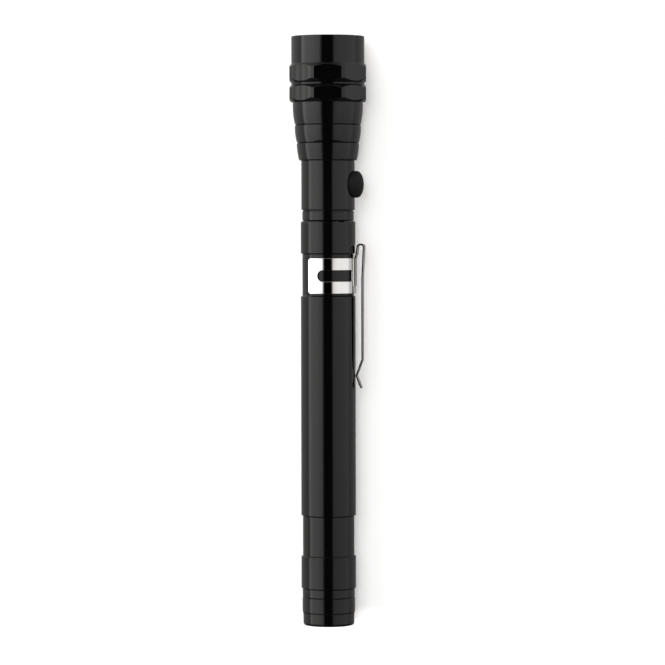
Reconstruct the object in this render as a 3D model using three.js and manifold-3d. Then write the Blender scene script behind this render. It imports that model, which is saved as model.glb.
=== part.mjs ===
// Telescoping pocket flashlight, closed, standing on its tail with the lamp pointing up.
// Millimetres. The axis is Z, the tail face is z = 0 and the pocket clip is on the +X side.
// Nested tubes and a flexible neck draw the lamp head out of the handle, one section after another.

import * as THREE from "three";
import { mergeVertices } from "three/addons/utils/BufferGeometryUtils.js";
import Module from "manifold-3d";

const wasm = await Module();
wasm.setup();

// Clearances
const FIT = 0.1; // radial, between a piece and the bore that holds it
const TURN_FIT = 0.1; // radial, round the rod that turns in its anchor
const SLEEVE_FIT = 0.06; // radial, each side of a friction sleeve
const NECK_FIT = 0.08; // radial, between a drawn-in tube end and the next tube
const GUIDE_FIT = 0.2; // radial, between the flexible neck's ferrules and the guide bush
const FACE_GAP = 0.1; // between faces that rest on each other
const END_GAP = 0.3; // between the tube ends and the anchor they stand over
const STOP_GAP = 0.5; // left at full draw between a friction sleeve and its stop
const SWITCH_GAP = 0.3; // between the pieces of the switch

// Telescope tubes, numbered from the widest, 1, to the thinnest, 5
const TUBE_COUNT = 5;
const THIN_TUBE_RADIUS = 1.9;
const TUBE_WALL = 0.3;
const TUBE_SPACE = 0.3; // between neighbouring tubes, filled by a friction sleeve
const DRAWN_END_LENGTH = 1;
const DRAWN_END_TAPER = 0.15;
const SLEEVE_LENGTH = 5;
const SLEEVE_GROOVE_DEPTH = 0.12;
const SLEEVE_SLIT = 0.5;
const TUBE_RIM_LENGTH = 1; // above the friction sleeve
const ROD_FOOT_RISE = 1.1; // the foot's radius beyond the rod's
const ROD_FOOT_THICKNESS = 1;

// Flexible neck and its ferrules
const FLEX_LENGTH = 60;
const FLEX_BORE_RISE = 0.2; // its bore's radius beyond the widest tube's
const FLEX_WALL = 0.4;
const RIB_HEIGHT = 0.35;
const RIB_PITCH = 1.8;
const FERRULE_WALL = 0.3;
const FERRULE_WEB = 1;
const FERRULE_GRIP = 5;
const FERRULE_STEM_LENGTH = 4.5;
const FERRULE_STEM_WALL = 0.35;
const FERRULE_LIP = 0.1; // how far the lower web's bore stands outside the tube's bore

// Handle
const BUSH_WALL = 0.35;
const BUSH_LENGTH = 10;
const BUSH_RECESS = 0.2;
const SEAT_WALL = 1.15;
const GRIP_RISE = 0.46; // the grip's and the collar's radius beyond the turned seats'
const LOWER_SEAT_LENGTH = 11.6;
const GRIP_LENGTH = 63.5;
const CLIP_SEAT_LENGTH = 11.8;
const COLLAR_LENGTH = 9.3;
const SHOULDER = 0.35; // height of the sloping shoulders
const HANDLE_SPIGOT_WALL = 0.65;
const HANDLE_SPIGOT_LENGTH = 8;

// Tail cap
const TAIL_CAP_LENGTH = 20.2;
const TAIL_BAND_LENGTH = 9;
const TAIL_WAIST_LENGTH = 2.5;
const TAIL_WAIST_DROP = 0.35; // below the band's radius
const TAIL_STEP_RISE = 0.06; // beyond the waist's radius
const TAIL_TIP_LENGTH = 4;
const TAIL_TIP_DROP = 0.18; // below the step's radius
const TAIL_TIP_TAPER = 0.06;
const TAIL_EDGE = 0.8;
const TAIL_FLOOR = 1.2;
const TAIL_MAGNET_RADIUS = 4.5;
const TAIL_MAGNET_LENGTH = 3;
const TAIL_MAGNET_RECESS = 0.2;
const ANCHOR_FLANGE = 1.2;

// Plug between handle and neck
const PLUG_FLANGE_LENGTH = 3.3;
const PLUG_SPIGOT_LENGTH = 6;
const PLUG_UPPER_LENGTH = 1.5;
const PLUG_ROOF = 0.5; // left of the flange above the tubes' bore
const PLUG_GROOVE_DEPTH = 0.12;
const PLUG_GROOVE_HEIGHT = 0.45;
const TUBE_HEADROOM = 0.4;
const RETAINER_WIRE_RADIUS = 0.2;
const RETAINER_GROOVE_DEPTH = 0.4;
const RETAINER_PLACE = 3.5; // above the spigot's end

// Button cells and contacts
const CELL_COUNT = 4;
const CELL_RADIUS = 5.8;
const CELL_HEIGHT = 5.4;
const CELL_CAP_RADIUS = 4.9;
const CELL_CAP_HEIGHT = 0.7;
const CELL_GAP = 0.05;
const CELL_SLEEVE_WALL = 0.3;
const CELL_SLEEVE_SHORT = 0.3; // the sleeve's edge below the top cell's face
const NEGATIVE_DISC_THICKNESS = 0.4;
const SPRING_HEIGHT = 3;
const SPRING_TURNS = 3;
const SPRING_WIRE_RADIUS = 0.25;
const SPRING_BASE_RADIUS = 4.6;
const SPRING_TOP_RADIUS = 2;
const POSITIVE_STUD_RADIUS = 2.2;
const POSITIVE_STUD_HEIGHT = 1.1;

// Neck
const NECK_LENGTH = 14.1;
const NECK_WALL = 1.435;
const NECK_EDGE = 0.2;
const NECK_SPIGOT_LENGTH = 7;
const NECK_SPIGOT_WALL = 0.75;
const HEAD_SEAL_RADIUS = 0.3;
const HEAD_SEAL_DEPTH = 0.65;
const HEAD_SEAL_PLACE = 5.2; // above the neck's shoulder

// Switch, built along its own axis, which points out of the neck
const BUTTON_TURN = -10.5; // degrees about Z from +X
const BUTTON_ABOVE_MIDDLE = 0.3;
const BUTTON_RADIUS = 3.85;
const BUTTON_HEIGHT = 2.65;
const BUTTON_DOME = 1.85; // height of the domed top
const BUTTON_FLANGE_RISE = 0.5;
const BUTTON_FLANGE_THICKNESS = 0.8;
const BUTTON_HOLE_FIT = 0.15;
const PLUNGER_RADIUS = 1.5;
const PLUNGER_LENGTH = 2.4;
const PLUNGER_FIT = 0.2;
const PLUNGER_ROOM = 1.2; // below the plunger in the switch body
const SWITCH_SIDE = 6.4;
const SWITCH_BODY_HEIGHT = 3;
const SWITCH_TOP_ROOM = 1.95; // between the button's flange and the switch body
const SWITCH_BOARD_THICKNESS = 0.8;
const CARRIER_RECESS = 1.45; // the carrier's top below the neck's shoulder

// Lamp
const LED_COUNT = 3;
const LED_RADIUS = 2.5;
const LED_FLANGE_RISE = 0.4;
const LED_FLANGE_HEIGHT = 1;
const LED_LENGTH = 8.6;
const LED_SHOWING = 1.1; // above the front plate
const LED_LEAD = 0.5;
const LED_LEAD_SPACING = 2.54;
const LED_TURN = 90; // degrees, the first lamp's place about Z
const BOARD_THICKNESS = 1.2;
const LEAD_HOLE_FIT = 0.15;
const PLATE_THICKNESS = 1.8;
const PLATE_RECESS = 1.8; // below the lip
const HEAD_MAGNET_RADIUS = 3;
const HEAD_MAGNET_LENGTH = 5.6;
const HEAD_MAGNET_RECESS = 0.3; // below the lip
const MAGNET_CUP_WALL = 0.5;
const LAMP_RIM = 0.3; // of the lamp holder outside the LED flanges

// Head shell
const THREAD_GAP = 0.4; // above the neck's spigot
const FOOT_WALL = 1.3;
const CAVITY_RISE = 0.85; // the battery space's radius beyond the thread's
const LEDGE = 1.5; // width of the ledge that the lamp board rests on
const TIER_3_LENGTH = 4.65;
const TIER_2_LENGTH = 5.2;
const TIER_3_FLARE = 0.55;
const TIER_2_FLARE = 0.54;
const TIER_1_FLARE = 0.61;
const TIER_3_CURVE = 1.7; // how much faster a tier flares at its lower edge than at its upper
const TIER_2_CURVE = 2.4;
const TIER_1_CURVE = 2.6;
const TIER_GROOVE = 0.12;
const LIP_WALL = 1.05;
const LIP_EDGE = 0.25;
const LIP_LENGTH = 7.9;
const RING_RISE = 0.48; // the ring flats beyond the lip's radius
const RING_CORNER_RISE = 0.77; // the ring's turned corners beyond its flats
const RING_1_LENGTH = 5.65;
const RING_2_LENGTH = 5.15;
const RING_GAP = 0.4;
const RING_FLATS = 8;

// Pocket clip
const CLIP_TURN = -5; // degrees about Z from +X
const CLIP_BAND_FIT = 0.1;
const CLIP_BAND_THICKNESS = 0.5;
const CLIP_BAND_HEIGHT = 10.15;
const CLIP_BAND_GAP = 0.55; // above the grip's shoulder
const CLIP_BAND_REACH = 130.5; // degrees each way from the arm
const CLIP_CORNER = 0.6;
const CLIP_SLOT_HEIGHT = 3.26;
const CLIP_SLOT_NEAR = 26; // degrees from the arm
const CLIP_SLOT_FAR = 107.7;
const CLIP_THICKNESS = 0.55;
const CLIP_WIDTH = 4.6;
const CLIP_TIP_WIDTH = 3.4;
const CLIP_ROOT_DEPTH = 8; // of the arm's foot below the band's top edge
const CLIP_LOOP_RADIUS = 0.865;
const CLIP_LOOP_RISE = 3.1; // the loop's centre above the band's top edge
const CLIP_LOOP_OFFSET = 1.78; // the loop's centre beyond the arm's foot
const CLIP_COLLAR_GAP = 0.2;
const CLIP_ELBOW_DROP = 9; // from the loop down to where the arm turns straight
const CLIP_ARM_LENGTH = 32.3; // from the loop down to the bend
const CLIP_ARM_LEAN = 0.46;
const CLIP_BEND_DROP = 4.7; // from the bend down to where the arm meets the grip
const CLIP_TOUCH_GAP = 0.1;
const CLIP_KINK_RADIUS = 0.5;
const CLIP_TIP_DROP = 3.6;
const CLIP_TIP_FLARE = 1.35;

// Facets
const SIDES = 30;
const HIDDEN_SIDES = 20;
const TUBE_SIDES = 16;
const FLEX_SIDES = 12;
const SMALL_SIDES = 12;
const RING_SECTION_SIDES = 6;
const EDGE_STEPS = 3; // along a rounded edge
const DOME_STEPS = 4; // along a domed or bent outline
const SPRING_STEPS = 8; // along each turn of the spring
const WIRE_SIDES = 10;
const MERGE_DISTANCE = 1e-4;

const radians = (degrees) => (degrees * Math.PI) / 180;

// Sizes that follow from the ones above, from the inside out

const tubeOuter = (number) => THIN_TUBE_RADIUS + (TUBE_COUNT - number) * (TUBE_WALL + TUBE_SPACE);
const tubeInner = (number) => tubeOuter(number) - TUBE_WALL;

const flexBore = tubeOuter(1) + FLEX_BORE_RISE;
const flexValley = flexBore + FLEX_WALL;
const flexCrest = flexValley + RIB_HEIGHT;
const ferruleBore = flexCrest + FIT;
const ferruleRadius = ferruleBore + FERRULE_WALL;
const ferruleStem = flexBore + FERRULE_STEM_WALL;
const bushBore = ferruleRadius + GUIDE_FIT;
const handleBore = bushBore + BUSH_WALL + FIT;
const seatRadius = handleBore + SEAT_WALL;
const gripRadius = seatRadius + GRIP_RISE;
const handleSpigot = handleBore + HANDLE_SPIGOT_WALL;
const tailThread = handleSpigot + FIT;

const cellSleeveBore = CELL_RADIUS + FIT;
const cellSleeveRadius = cellSleeveBore + CELL_SLEEVE_WALL;
const neckBore = cellSleeveRadius + FIT;
const neckRadius = neckBore + NECK_WALL;
const neckSpigot = neckBore + NECK_SPIGOT_WALL;
const headThread = neckSpigot + FIT;

const magnetHole = HEAD_MAGNET_RADIUS + FIT;
const ledHole = LED_RADIUS + FIT;
const ledFlange = LED_RADIUS + LED_FLANGE_RISE;
const ledCircle = magnetHole + MAGNET_CUP_WALL + ledHole;
const lampRadius = ledCircle + ledFlange + LAMP_RIM;
const lampBore = lampRadius + FIT;
const cavityRadius = Math.min(headThread + CAVITY_RISE, lampBore - LEDGE);
const lipRadius = lampBore + LIP_WALL;
const ringFlat = lipRadius + RING_RISE;
const ringCorner = ringFlat + RING_CORNER_RISE;

// Heights, from the tail up

const tailPocket = TAIL_MAGNET_RECESS + TAIL_MAGNET_LENGTH + FACE_GAP;
const tailFloorTop = tailPocket + TAIL_FLOOR;
const handleBottom = TAIL_CAP_LENGTH + FACE_GAP;
const spigotEnd = handleBottom - HANDLE_SPIGOT_LENGTH;
const anchorTop = spigotEnd - FACE_GAP;
const anchorFlangeBottom = anchorTop - ANCHOR_FLANGE;
const tailShoulder = anchorFlangeBottom - FACE_GAP;
const rodFootBottom = tailFloorTop + FACE_GAP;
const rodFootTop = rodFootBottom + ROD_FOOT_THICKNESS;
const gripBottom = handleBottom + LOWER_SEAT_LENGTH;
const gripTop = gripBottom + GRIP_LENGTH;
const collarBottom = gripTop + CLIP_SEAT_LENGTH;
const handleTop = collarBottom + COLLAR_LENGTH;

const plugFlangeBottom = handleTop + FACE_GAP;
const plugFlangeTop = plugFlangeBottom + PLUG_FLANGE_LENGTH;
const plugBottom = plugFlangeBottom - PLUG_SPIGOT_LENGTH;
const plugTop = plugFlangeTop + PLUG_UPPER_LENGTH;
const plugCeiling = plugFlangeTop - PLUG_ROOF;
const ferruleStemTop = plugBottom - FACE_GAP + FERRULE_STEM_LENGTH;
const flexTop = plugBottom - FACE_GAP - FERRULE_WEB - FACE_GAP;
const flexBottom = flexTop - FLEX_LENGTH;
const lowerWebTop = flexBottom - FACE_GAP;
const lowerWebBottom = lowerWebTop - FERRULE_WEB;

const tubeBottom = anchorTop + END_GAP;
const tubeTop = plugCeiling - TUBE_HEADROOM;
const sleeveTop = tubeTop - TUBE_RIM_LENGTH;
const sleeveBottom = sleeveTop - SLEEVE_LENGTH;
const draw = sleeveBottom - SLEEVE_FIT - tubeBottom - DRAWN_END_LENGTH - STOP_GAP;

const neckBottom = plugFlangeTop + FACE_GAP;
const neckTop = neckBottom + NECK_LENGTH;
const neckSpigotTop = neckTop + NECK_SPIGOT_LENGTH;
const carrierBottom = plugTop + FACE_GAP;
const carrierTop = neckTop - CARRIER_RECESS;
const discBottom = carrierTop + FACE_GAP;
const discTop = discBottom + NEGATIVE_DISC_THICKNESS;
const springBottom = discTop + FACE_GAP;
const cellsBottom = springBottom + SPRING_HEIGHT + FACE_GAP;
const cellsTop = cellsBottom + CELL_COUNT * CELL_HEIGHT + (CELL_COUNT - 1) * CELL_GAP;
const studBottom = cellsTop + FACE_GAP;
const boardBottom = studBottom + POSITIVE_STUD_HEIGHT + FACE_GAP;
const boardTop = boardBottom + BOARD_THICKNESS;
const ledBottom = boardTop + FACE_GAP;
const ledTip = ledBottom + LED_LENGTH;
const plateTop = ledTip - LED_SHOWING;
const plateBottom = plateTop - PLATE_THICKNESS;
const holderTop = plateBottom - FACE_GAP;
const lipTop = plateTop + PLATE_RECESS;
const headBottom = neckTop + FACE_GAP;
const headMagnetTop = lipTop - HEAD_MAGNET_RECESS;
const headMagnetBottom = headMagnetTop - HEAD_MAGNET_LENGTH;

// Solids

// A closed geometry as a solid, with shared vertices merged and collapsed facets left out.
function solid(geometry) {
  const bare = geometry.clone();
  bare.deleteAttribute("normal");
  bare.deleteAttribute("uv");
  const merged = mergeVertices(bare, MERGE_DISTANCE);
  const corners = merged.index.array;
  const facets = [];
  for (let i = 0; i < corners.length; i += 3) {
    const [a, b, c] = [corners[i], corners[i + 1], corners[i + 2]];
    if (a !== b && b !== c && c !== a) facets.push(a, b, c);
  }
  const vertProperties = new Float32Array(merged.attributes.position.array);
  const triVerts = new Uint32Array(facets);
  return new wasm.Manifold(new wasm.Mesh({ numProp: 3, vertProperties, triVerts }));
}

function geometryOf(body) {
  const mesh = body.getMesh();
  const geometry = new THREE.BufferGeometry();
  geometry.setAttribute("position", new THREE.BufferAttribute(mesh.vertProperties.slice(), 3));
  geometry.setIndex(new THREE.BufferAttribute(mesh.triVerts.slice(), 1));
  return geometry;
}

// Turns [radius, height] points about Z. An outline runs up its outside, and either closes on itself
// or starts and ends on the axis.
function turned(outline, sides = SIDES) {
  const points = outline.map(([radius, height]) => new THREE.Vector2(radius, height));
  if (outline[0][0] > 0) points.push(points[0].clone());
  return solid(new THREE.LatheGeometry(points, sides).rotateX(Math.PI / 2));
}

// A plain tube or, with no bore, a plain disc.
function ring(bore, radius, bottom, top, sides = SIDES) {
  return turned([[bore, bottom], [radius, bottom], [radius, top], [bore, top]], sides);
}

function boxBetween(low, high) {
  const size = high.map((value, i) => value - low[i]);
  const middle = high.map((value, i) => (value + low[i]) / 2);
  return new THREE.BoxGeometry(...size).translate(...middle);
}

const flashlight = new THREE.Group();

function addPiece(name, body, material) {
  const mesh = new THREE.Mesh(geometryOf(body), material);
  mesh.name = name;
  flashlight.add(mesh);
}

function finish(color, roughness, metalness, extra = {}) {
  return new THREE.MeshStandardMaterial({ color, roughness, metalness, flatShading: true, ...extra });
}

const blackCoat = finish(0x0a0a0b, 0.16, 0.35);
const brightSteel = finish(0xd9d9dc, 0.12, 1);
const platedTube = finish(0xc9cacc, 0.18, 1);
const brass = finish(0xb8923f, 0.3, 1);
const magnetPlate = finish(0xb4b5b9, 0.25, 1);
const blackRubber = finish(0x161617, 0.85, 0);
const blackPlastic = finish(0x1b1b1d, 0.55, 0);
const whitePlastic = finish(0xe3e1da, 0.5, 0);
const circuitBoard = finish(0x1f5a35, 0.5, 0);
const cellSteel = finish(0xbfc1c4, 0.28, 1);
const ledLens = finish(0xf2f5f7, 0.05, 0, { transparent: true, opacity: 0.5 });

// Handle: one turned tube with two waists, a collar above the clip's waist and a spigot for the tail cap
function makeHandle() {
  const barrel = turned([
    [handleBore, spigotEnd],
    [handleSpigot, spigotEnd],
    [handleSpigot, handleBottom],
    [seatRadius, handleBottom],
    [seatRadius, gripBottom - SHOULDER],
    [gripRadius, gripBottom],
    [gripRadius, gripTop - SHOULDER],
    [seatRadius, gripTop],
    [seatRadius, collarBottom],
    [gripRadius, collarBottom + SHOULDER],
    [gripRadius, handleTop - SHOULDER],
    [gripRadius - SHOULDER, handleTop],
    [handleBore, handleTop],
  ]);
  addPiece("barrel", barrel, blackCoat);
  const bushTop = handleTop - BUSH_RECESS;
  const bush = ring(bushBore, bushBore + BUSH_WALL, bushTop - BUSH_LENGTH, bushTop, HIDDEN_SIDES);
  addPiece("guide_bush", bush, blackPlastic);
}

// Tail cap: a stepped cup that screws onto the handle, with a magnet let into its face
function makeTail() {
  const waistRadius = gripRadius - TAIL_WAIST_DROP;
  const stepRadius = waistRadius + TAIL_STEP_RISE;
  const tipRadius = stepRadius - TAIL_TIP_DROP;
  const bandBottom = TAIL_CAP_LENGTH - TAIL_BAND_LENGTH;
  const waistTop = bandBottom - SHOULDER;
  const waistBottom = waistTop - TAIL_WAIST_LENGTH;
  const magnetBore = TAIL_MAGNET_RADIUS + FIT;
  const edgeCurve = new THREE.EllipseCurve(
    tipRadius - TAIL_TIP_TAPER - TAIL_EDGE, TAIL_EDGE, TAIL_EDGE, TAIL_EDGE, -Math.PI / 2, 0);
  const edge = edgeCurve.getPoints(EDGE_STEPS).map((point) => [point.x, point.y]);
  const cavity = tailThread - HANDLE_SPIGOT_WALL;
  const cap = turned([
    [0, tailPocket],
    [magnetBore, tailPocket],
    [magnetBore, 0],
    ...edge,
    [tipRadius, TAIL_TIP_LENGTH - SHOULDER],
    [stepRadius, TAIL_TIP_LENGTH],
    [stepRadius, waistBottom],
    [waistRadius, waistBottom + TAIL_STEP_RISE],
    [waistRadius, waistTop],
    [gripRadius, bandBottom],
    [gripRadius, TAIL_CAP_LENGTH - SHOULDER],
    [gripRadius - SHOULDER, TAIL_CAP_LENGTH],
    [tailThread, TAIL_CAP_LENGTH],
    [tailThread, tailShoulder],
    [cavity, tailShoulder],
    [cavity, tailFloorTop],
    [0, tailFloorTop],
  ]);
  addPiece("tail_cap", cap, blackCoat);

  const magnetTop = TAIL_MAGNET_RECESS + TAIL_MAGNET_LENGTH;
  const magnet = ring(0, TAIL_MAGNET_RADIUS, TAIL_MAGNET_RECESS, magnetTop, TUBE_SIDES);
  addPiece("tail_magnet", magnet, magnetPlate);

  const footBore = tubeOuter(TUBE_COUNT) + ROD_FOOT_RISE + FIT;
  const rodBore = tubeOuter(TUBE_COUNT) + TURN_FIT;
  const anchor = turned([
    [footBore, rodFootBottom],
    [cavity - FIT, rodFootBottom],
    [cavity - FIT, anchorFlangeBottom],
    [tailThread - FIT, anchorFlangeBottom],
    [tailThread - FIT, anchorTop],
    [rodBore, anchorTop],
    [rodBore, rodFootTop + FACE_GAP],
    [footBore, rodFootTop + FACE_GAP],
  ], HIDDEN_SIDES);
  addPiece("rod_anchor", anchor, brass);
}

// Telescope: each tube's lower end is drawn in to stop the friction sleeve of the tube inside it
function drawnEnd(number) {
  const throat = tubeOuter(number + 1) + NECK_FIT;
  const outer = tubeOuter(number);
  const drawnTop = tubeBottom + DRAWN_END_LENGTH;
  return {
    start: [[throat, tubeBottom], [outer - DRAWN_END_TAPER, tubeBottom], [outer, drawnTop]],
    end: [[tubeInner(number), drawnTop], [throat, drawnTop - TUBE_WALL / 2]],
  };
}

// The rod's lower end is a flat foot, held under the anchor so that it can turn but not pull out.
function rodFoot() {
  const outer = tubeOuter(TUBE_COUNT);
  const inner = tubeInner(TUBE_COUNT);
  const foot = outer + ROD_FOOT_RISE;
  return {
    start: [[inner, rodFootBottom], [foot, rodFootBottom], [foot, rodFootTop], [outer, rodFootTop]],
    end: [],
  };
}

function makeTelescope() {
  const widest = drawnEnd(1);
  const shortTop = lowerWebBottom - FACE_GAP;
  const tubeOne = [...widest.start, [tubeOuter(1), shortTop], [tubeInner(1), shortTop], ...widest.end];
  addPiece("tube_1", turned(tubeOne, TUBE_SIDES), platedTube);

  for (let number = 2; number <= TUBE_COUNT; number += 1) {
    const outer = tubeOuter(number);
    const groove = outer - SLEEVE_GROOVE_DEPTH;
    const lower = number === TUBE_COUNT ? rodFoot() : drawnEnd(number);
    const outline = [
      ...lower.start,
      [outer, sleeveBottom - SLEEVE_FIT],
      [groove, sleeveBottom - SLEEVE_FIT],
      [groove, sleeveTop + SLEEVE_FIT],
      [outer, sleeveTop + SLEEVE_FIT],
      [outer, tubeTop],
      [tubeInner(number), tubeTop],
      ...lower.end,
    ];
    addPiece(`tube_${number}`, turned(outline, TUBE_SIDES), platedTube);

    const outside = tubeInner(number - 1) - SLEEVE_FIT;
    const halfSlit = SLEEVE_SLIT / 2;
    const slit = boxBetween([0, -halfSlit, 0], [outside + halfSlit, halfSlit, tubeTop]);
    const sleeve = ring(groove + SLEEVE_FIT, outside, sleeveBottom, sleeveTop, TUBE_SIDES);
    addPiece(`friction_sleeve_${number}`, sleeve.subtract(solid(slit)), brass);
  }
}

// Flexible neck: a ribbed tube with plain ends, crimped into a ferrule at each end
function makeFlexibleNeck() {
  const ribsBottom = flexBottom + FERRULE_GRIP;
  const ribsTop = flexTop - FERRULE_GRIP;
  const ribCount = Math.floor((ribsTop - ribsBottom) / RIB_PITCH);
  const pitch = (ribsTop - ribsBottom) / ribCount;
  const ribs = [];
  for (let i = 0; i < ribCount; i += 1) {
    ribs.push([flexValley, ribsBottom + pitch * i], [flexCrest, ribsBottom + pitch * (i + 0.5)]);
  }
  const outline = [
    [flexBore, flexBottom],
    [flexCrest, flexBottom],
    [flexCrest, ribsBottom - RIB_HEIGHT],
    ...ribs,
    [flexValley, ribsTop],
    [flexCrest, ribsTop + RIB_HEIGHT],
    [flexCrest, flexTop],
    [flexBore, flexTop],
  ];
  addPiece("flexible_neck", turned(outline, FLEX_SIDES), brightSteel);

  const shoulder = plugBottom - FACE_GAP;
  const upper = turned([
    [ferruleBore, flexTop - FERRULE_GRIP],
    [ferruleRadius, flexTop - FERRULE_GRIP],
    [ferruleRadius, shoulder],
    [ferruleStem, shoulder],
    [ferruleStem, ferruleStemTop],
    [flexBore, ferruleStemTop],
    [flexBore, shoulder - FERRULE_WEB],
    [ferruleBore, shoulder - FERRULE_WEB],
  ], HIDDEN_SIDES);
  addPiece("upper_ferrule", upper, brass);

  const tubeSocket = tubeOuter(1) + FIT;
  const webBore = tubeInner(1) + FERRULE_LIP;
  const lower = turned([
    [tubeSocket, lowerWebBottom - FERRULE_GRIP],
    [ferruleRadius, lowerWebBottom - FERRULE_GRIP],
    [ferruleRadius, flexBottom + FERRULE_GRIP],
    [ferruleBore, flexBottom + FERRULE_GRIP],
    [ferruleBore, lowerWebTop],
    [webBore, lowerWebTop],
    [webBore, lowerWebBottom],
    [tubeSocket, lowerWebBottom],
  ], HIDDEN_SIDES);
  addPiece("lower_ferrule", lower, brass);
}

// Ring of round section about Z
function roundRing(radius, sectionRadius, height) {
  const section = [];
  for (let i = 0; i < RING_SECTION_SIDES; i += 1) {
    const angle = (2 * Math.PI * i) / RING_SECTION_SIDES;
    section.push([radius + sectionRadius * Math.cos(angle), height + sectionRadius * Math.sin(angle)]);
  }
  return turned(section);
}

// Plug: closes the neck, carries the flexible neck and shows as the waist above the handle's collar
function makePlug() {
  const spigot = ferruleRadius;
  const groove = spigot - RETAINER_GROOVE_DEPTH;
  const retainerZ = plugBottom + RETAINER_PLACE;
  const grooveReach = RETAINER_WIRE_RADIUS + FIT;
  const socket = ferruleStem + FIT;
  const socketTop = ferruleStemTop + FACE_GAP;
  const plug = turned([
    [socket, plugBottom],
    [spigot, plugBottom],
    [spigot, retainerZ - grooveReach],
    [groove, retainerZ - grooveReach],
    [groove, retainerZ + grooveReach],
    [spigot, retainerZ + grooveReach],
    [spigot, plugFlangeBottom],
    [seatRadius, plugFlangeBottom],
    [seatRadius, plugFlangeTop - PLUG_GROOVE_HEIGHT],
    [seatRadius - PLUG_GROOVE_DEPTH, plugFlangeTop - PLUG_GROOVE_HEIGHT],
    [seatRadius - PLUG_GROOVE_DEPTH, plugFlangeTop],
    [neckBore - FIT, plugFlangeTop],
    [neckBore - FIT, plugTop],
    [0, plugTop],
    [0, plugCeiling],
    [flexBore, plugCeiling],
    [flexBore, socketTop],
    [socket, socketTop],
  ]);
  addPiece("neck_plug", plug, blackCoat);
  const wireCentre = groove + FIT / 2 + RETAINER_WIRE_RADIUS;
  addPiece("retaining_ring", roundRing(wireCentre, RETAINER_WIRE_RADIUS, retainerZ), brightSteel);
}

// Frame of the switch: its own Z points out of the neck through the middle of the button
const buttonZ = neckBottom + NECK_LENGTH / 2 + BUTTON_ABOVE_MIDDLE;
const switchFrame = new THREE.Matrix4()
  .makeTranslation(0, 0, buttonZ)
  .multiply(new THREE.Matrix4().makeRotationZ(radians(BUTTON_TURN)))
  .multiply(new THREE.Matrix4().makeRotationY(Math.PI / 2));

// A body made along the switch's axis, set in its place in the neck
function inSwitchFrame(body) {
  return solid(geometryOf(body).applyMatrix4(switchFrame));
}

function switchBox(side, bottom, top) {
  return solid(boxBetween([-side / 2, -side / 2, bottom], [side / 2, side / 2, top]));
}

function makeNeckAndSwitch() {
  const flangeRadius = BUTTON_RADIUS + BUTTON_FLANGE_RISE;
  const flangeTop = Math.sqrt((neckBore - FIT) ** 2 - flangeRadius ** 2) - FACE_GAP;
  const flangeBottom = flangeTop - BUTTON_FLANGE_THICKNESS;
  const buttonTop = neckRadius + BUTTON_HEIGHT;
  const switchTop = flangeBottom - SWITCH_TOP_ROOM;
  const switchBottom = switchTop - SWITCH_BODY_HEIGHT;
  const switchBoardTop = switchBottom - SWITCH_GAP;
  const switchBoardBottom = switchBoardTop - SWITCH_BOARD_THICKNESS;
  const pocketBottom = switchBoardBottom - SWITCH_GAP;
  const pocketSide = 2 * (flangeRadius + SWITCH_GAP);
  const plungerTop = flangeBottom - SWITCH_GAP;
  const plungerBottom = plungerTop - PLUNGER_LENGTH;

  const sealZ = neckTop + HEAD_SEAL_PLACE;
  const sealGroove = neckSpigot - HEAD_SEAL_DEPTH;
  const sealReach = HEAD_SEAL_RADIUS + FIT;
  const tube = turned([
    [neckBore, neckBottom],
    [neckRadius - NECK_EDGE, neckBottom],
    [neckRadius, neckBottom + NECK_EDGE],
    [neckRadius, neckTop],
    [neckSpigot, neckTop],
    [neckSpigot, sealZ - sealReach],
    [sealGroove, sealZ - sealReach],
    [sealGroove, sealZ + sealReach],
    [neckSpigot, sealZ + sealReach],
    [neckSpigot, neckSpigotTop],
    [neckBore, neckSpigotTop],
  ]);
  const hole = ring(0, BUTTON_RADIUS + BUTTON_HOLE_FIT, 0, buttonTop, SIDES);
  addPiece("neck_tube", tube.subtract(inSwitchFrame(hole)), blackCoat);
  const sealCentre = sealGroove + FIT / 2 + HEAD_SEAL_RADIUS;
  addPiece("head_seal", roundRing(sealCentre, HEAD_SEAL_RADIUS, sealZ), blackRubber);

  const dome = new THREE.EllipseCurve(
    0, buttonTop - BUTTON_DOME, BUTTON_RADIUS, BUTTON_DOME, 0, Math.PI / 2);
  const boot = turned([
    [0, flangeBottom],
    [flangeRadius, flangeBottom],
    [flangeRadius, flangeTop],
    [BUTTON_RADIUS, flangeTop],
    ...dome.getPoints(DOME_STEPS).slice(0, -1).map((point) => [point.x, point.y]),
    [0, buttonTop],
  ]);
  addPiece("switch_button", inSwitchFrame(boot), blackRubber);

  const plunger = ring(0, PLUNGER_RADIUS, plungerBottom, plungerTop, SMALL_SIDES);
  addPiece("switch_plunger", inSwitchFrame(plunger), whitePlastic);

  const plungerBore = PLUNGER_RADIUS + PLUNGER_FIT;
  const well = ring(0, plungerBore, plungerBottom - PLUNGER_ROOM, flangeBottom, SMALL_SIDES);
  const switchBody = switchBox(SWITCH_SIDE, switchBottom, switchTop).subtract(well);
  addPiece("switch_body", inSwitchFrame(switchBody), blackPlastic);

  const board = switchBox(pocketSide - 2 * SWITCH_GAP, switchBoardBottom, switchBoardTop);
  addPiece("switch_board", inSwitchFrame(board), circuitBoard);

  const pocket = switchBox(pocketSide, pocketBottom, neckRadius);
  const carrier = ring(0, neckBore - FIT, carrierBottom, carrierTop, HIDDEN_SIDES);
  addPiece("switch_carrier", carrier.subtract(inSwitchFrame(pocket)), blackPlastic);
}

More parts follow.
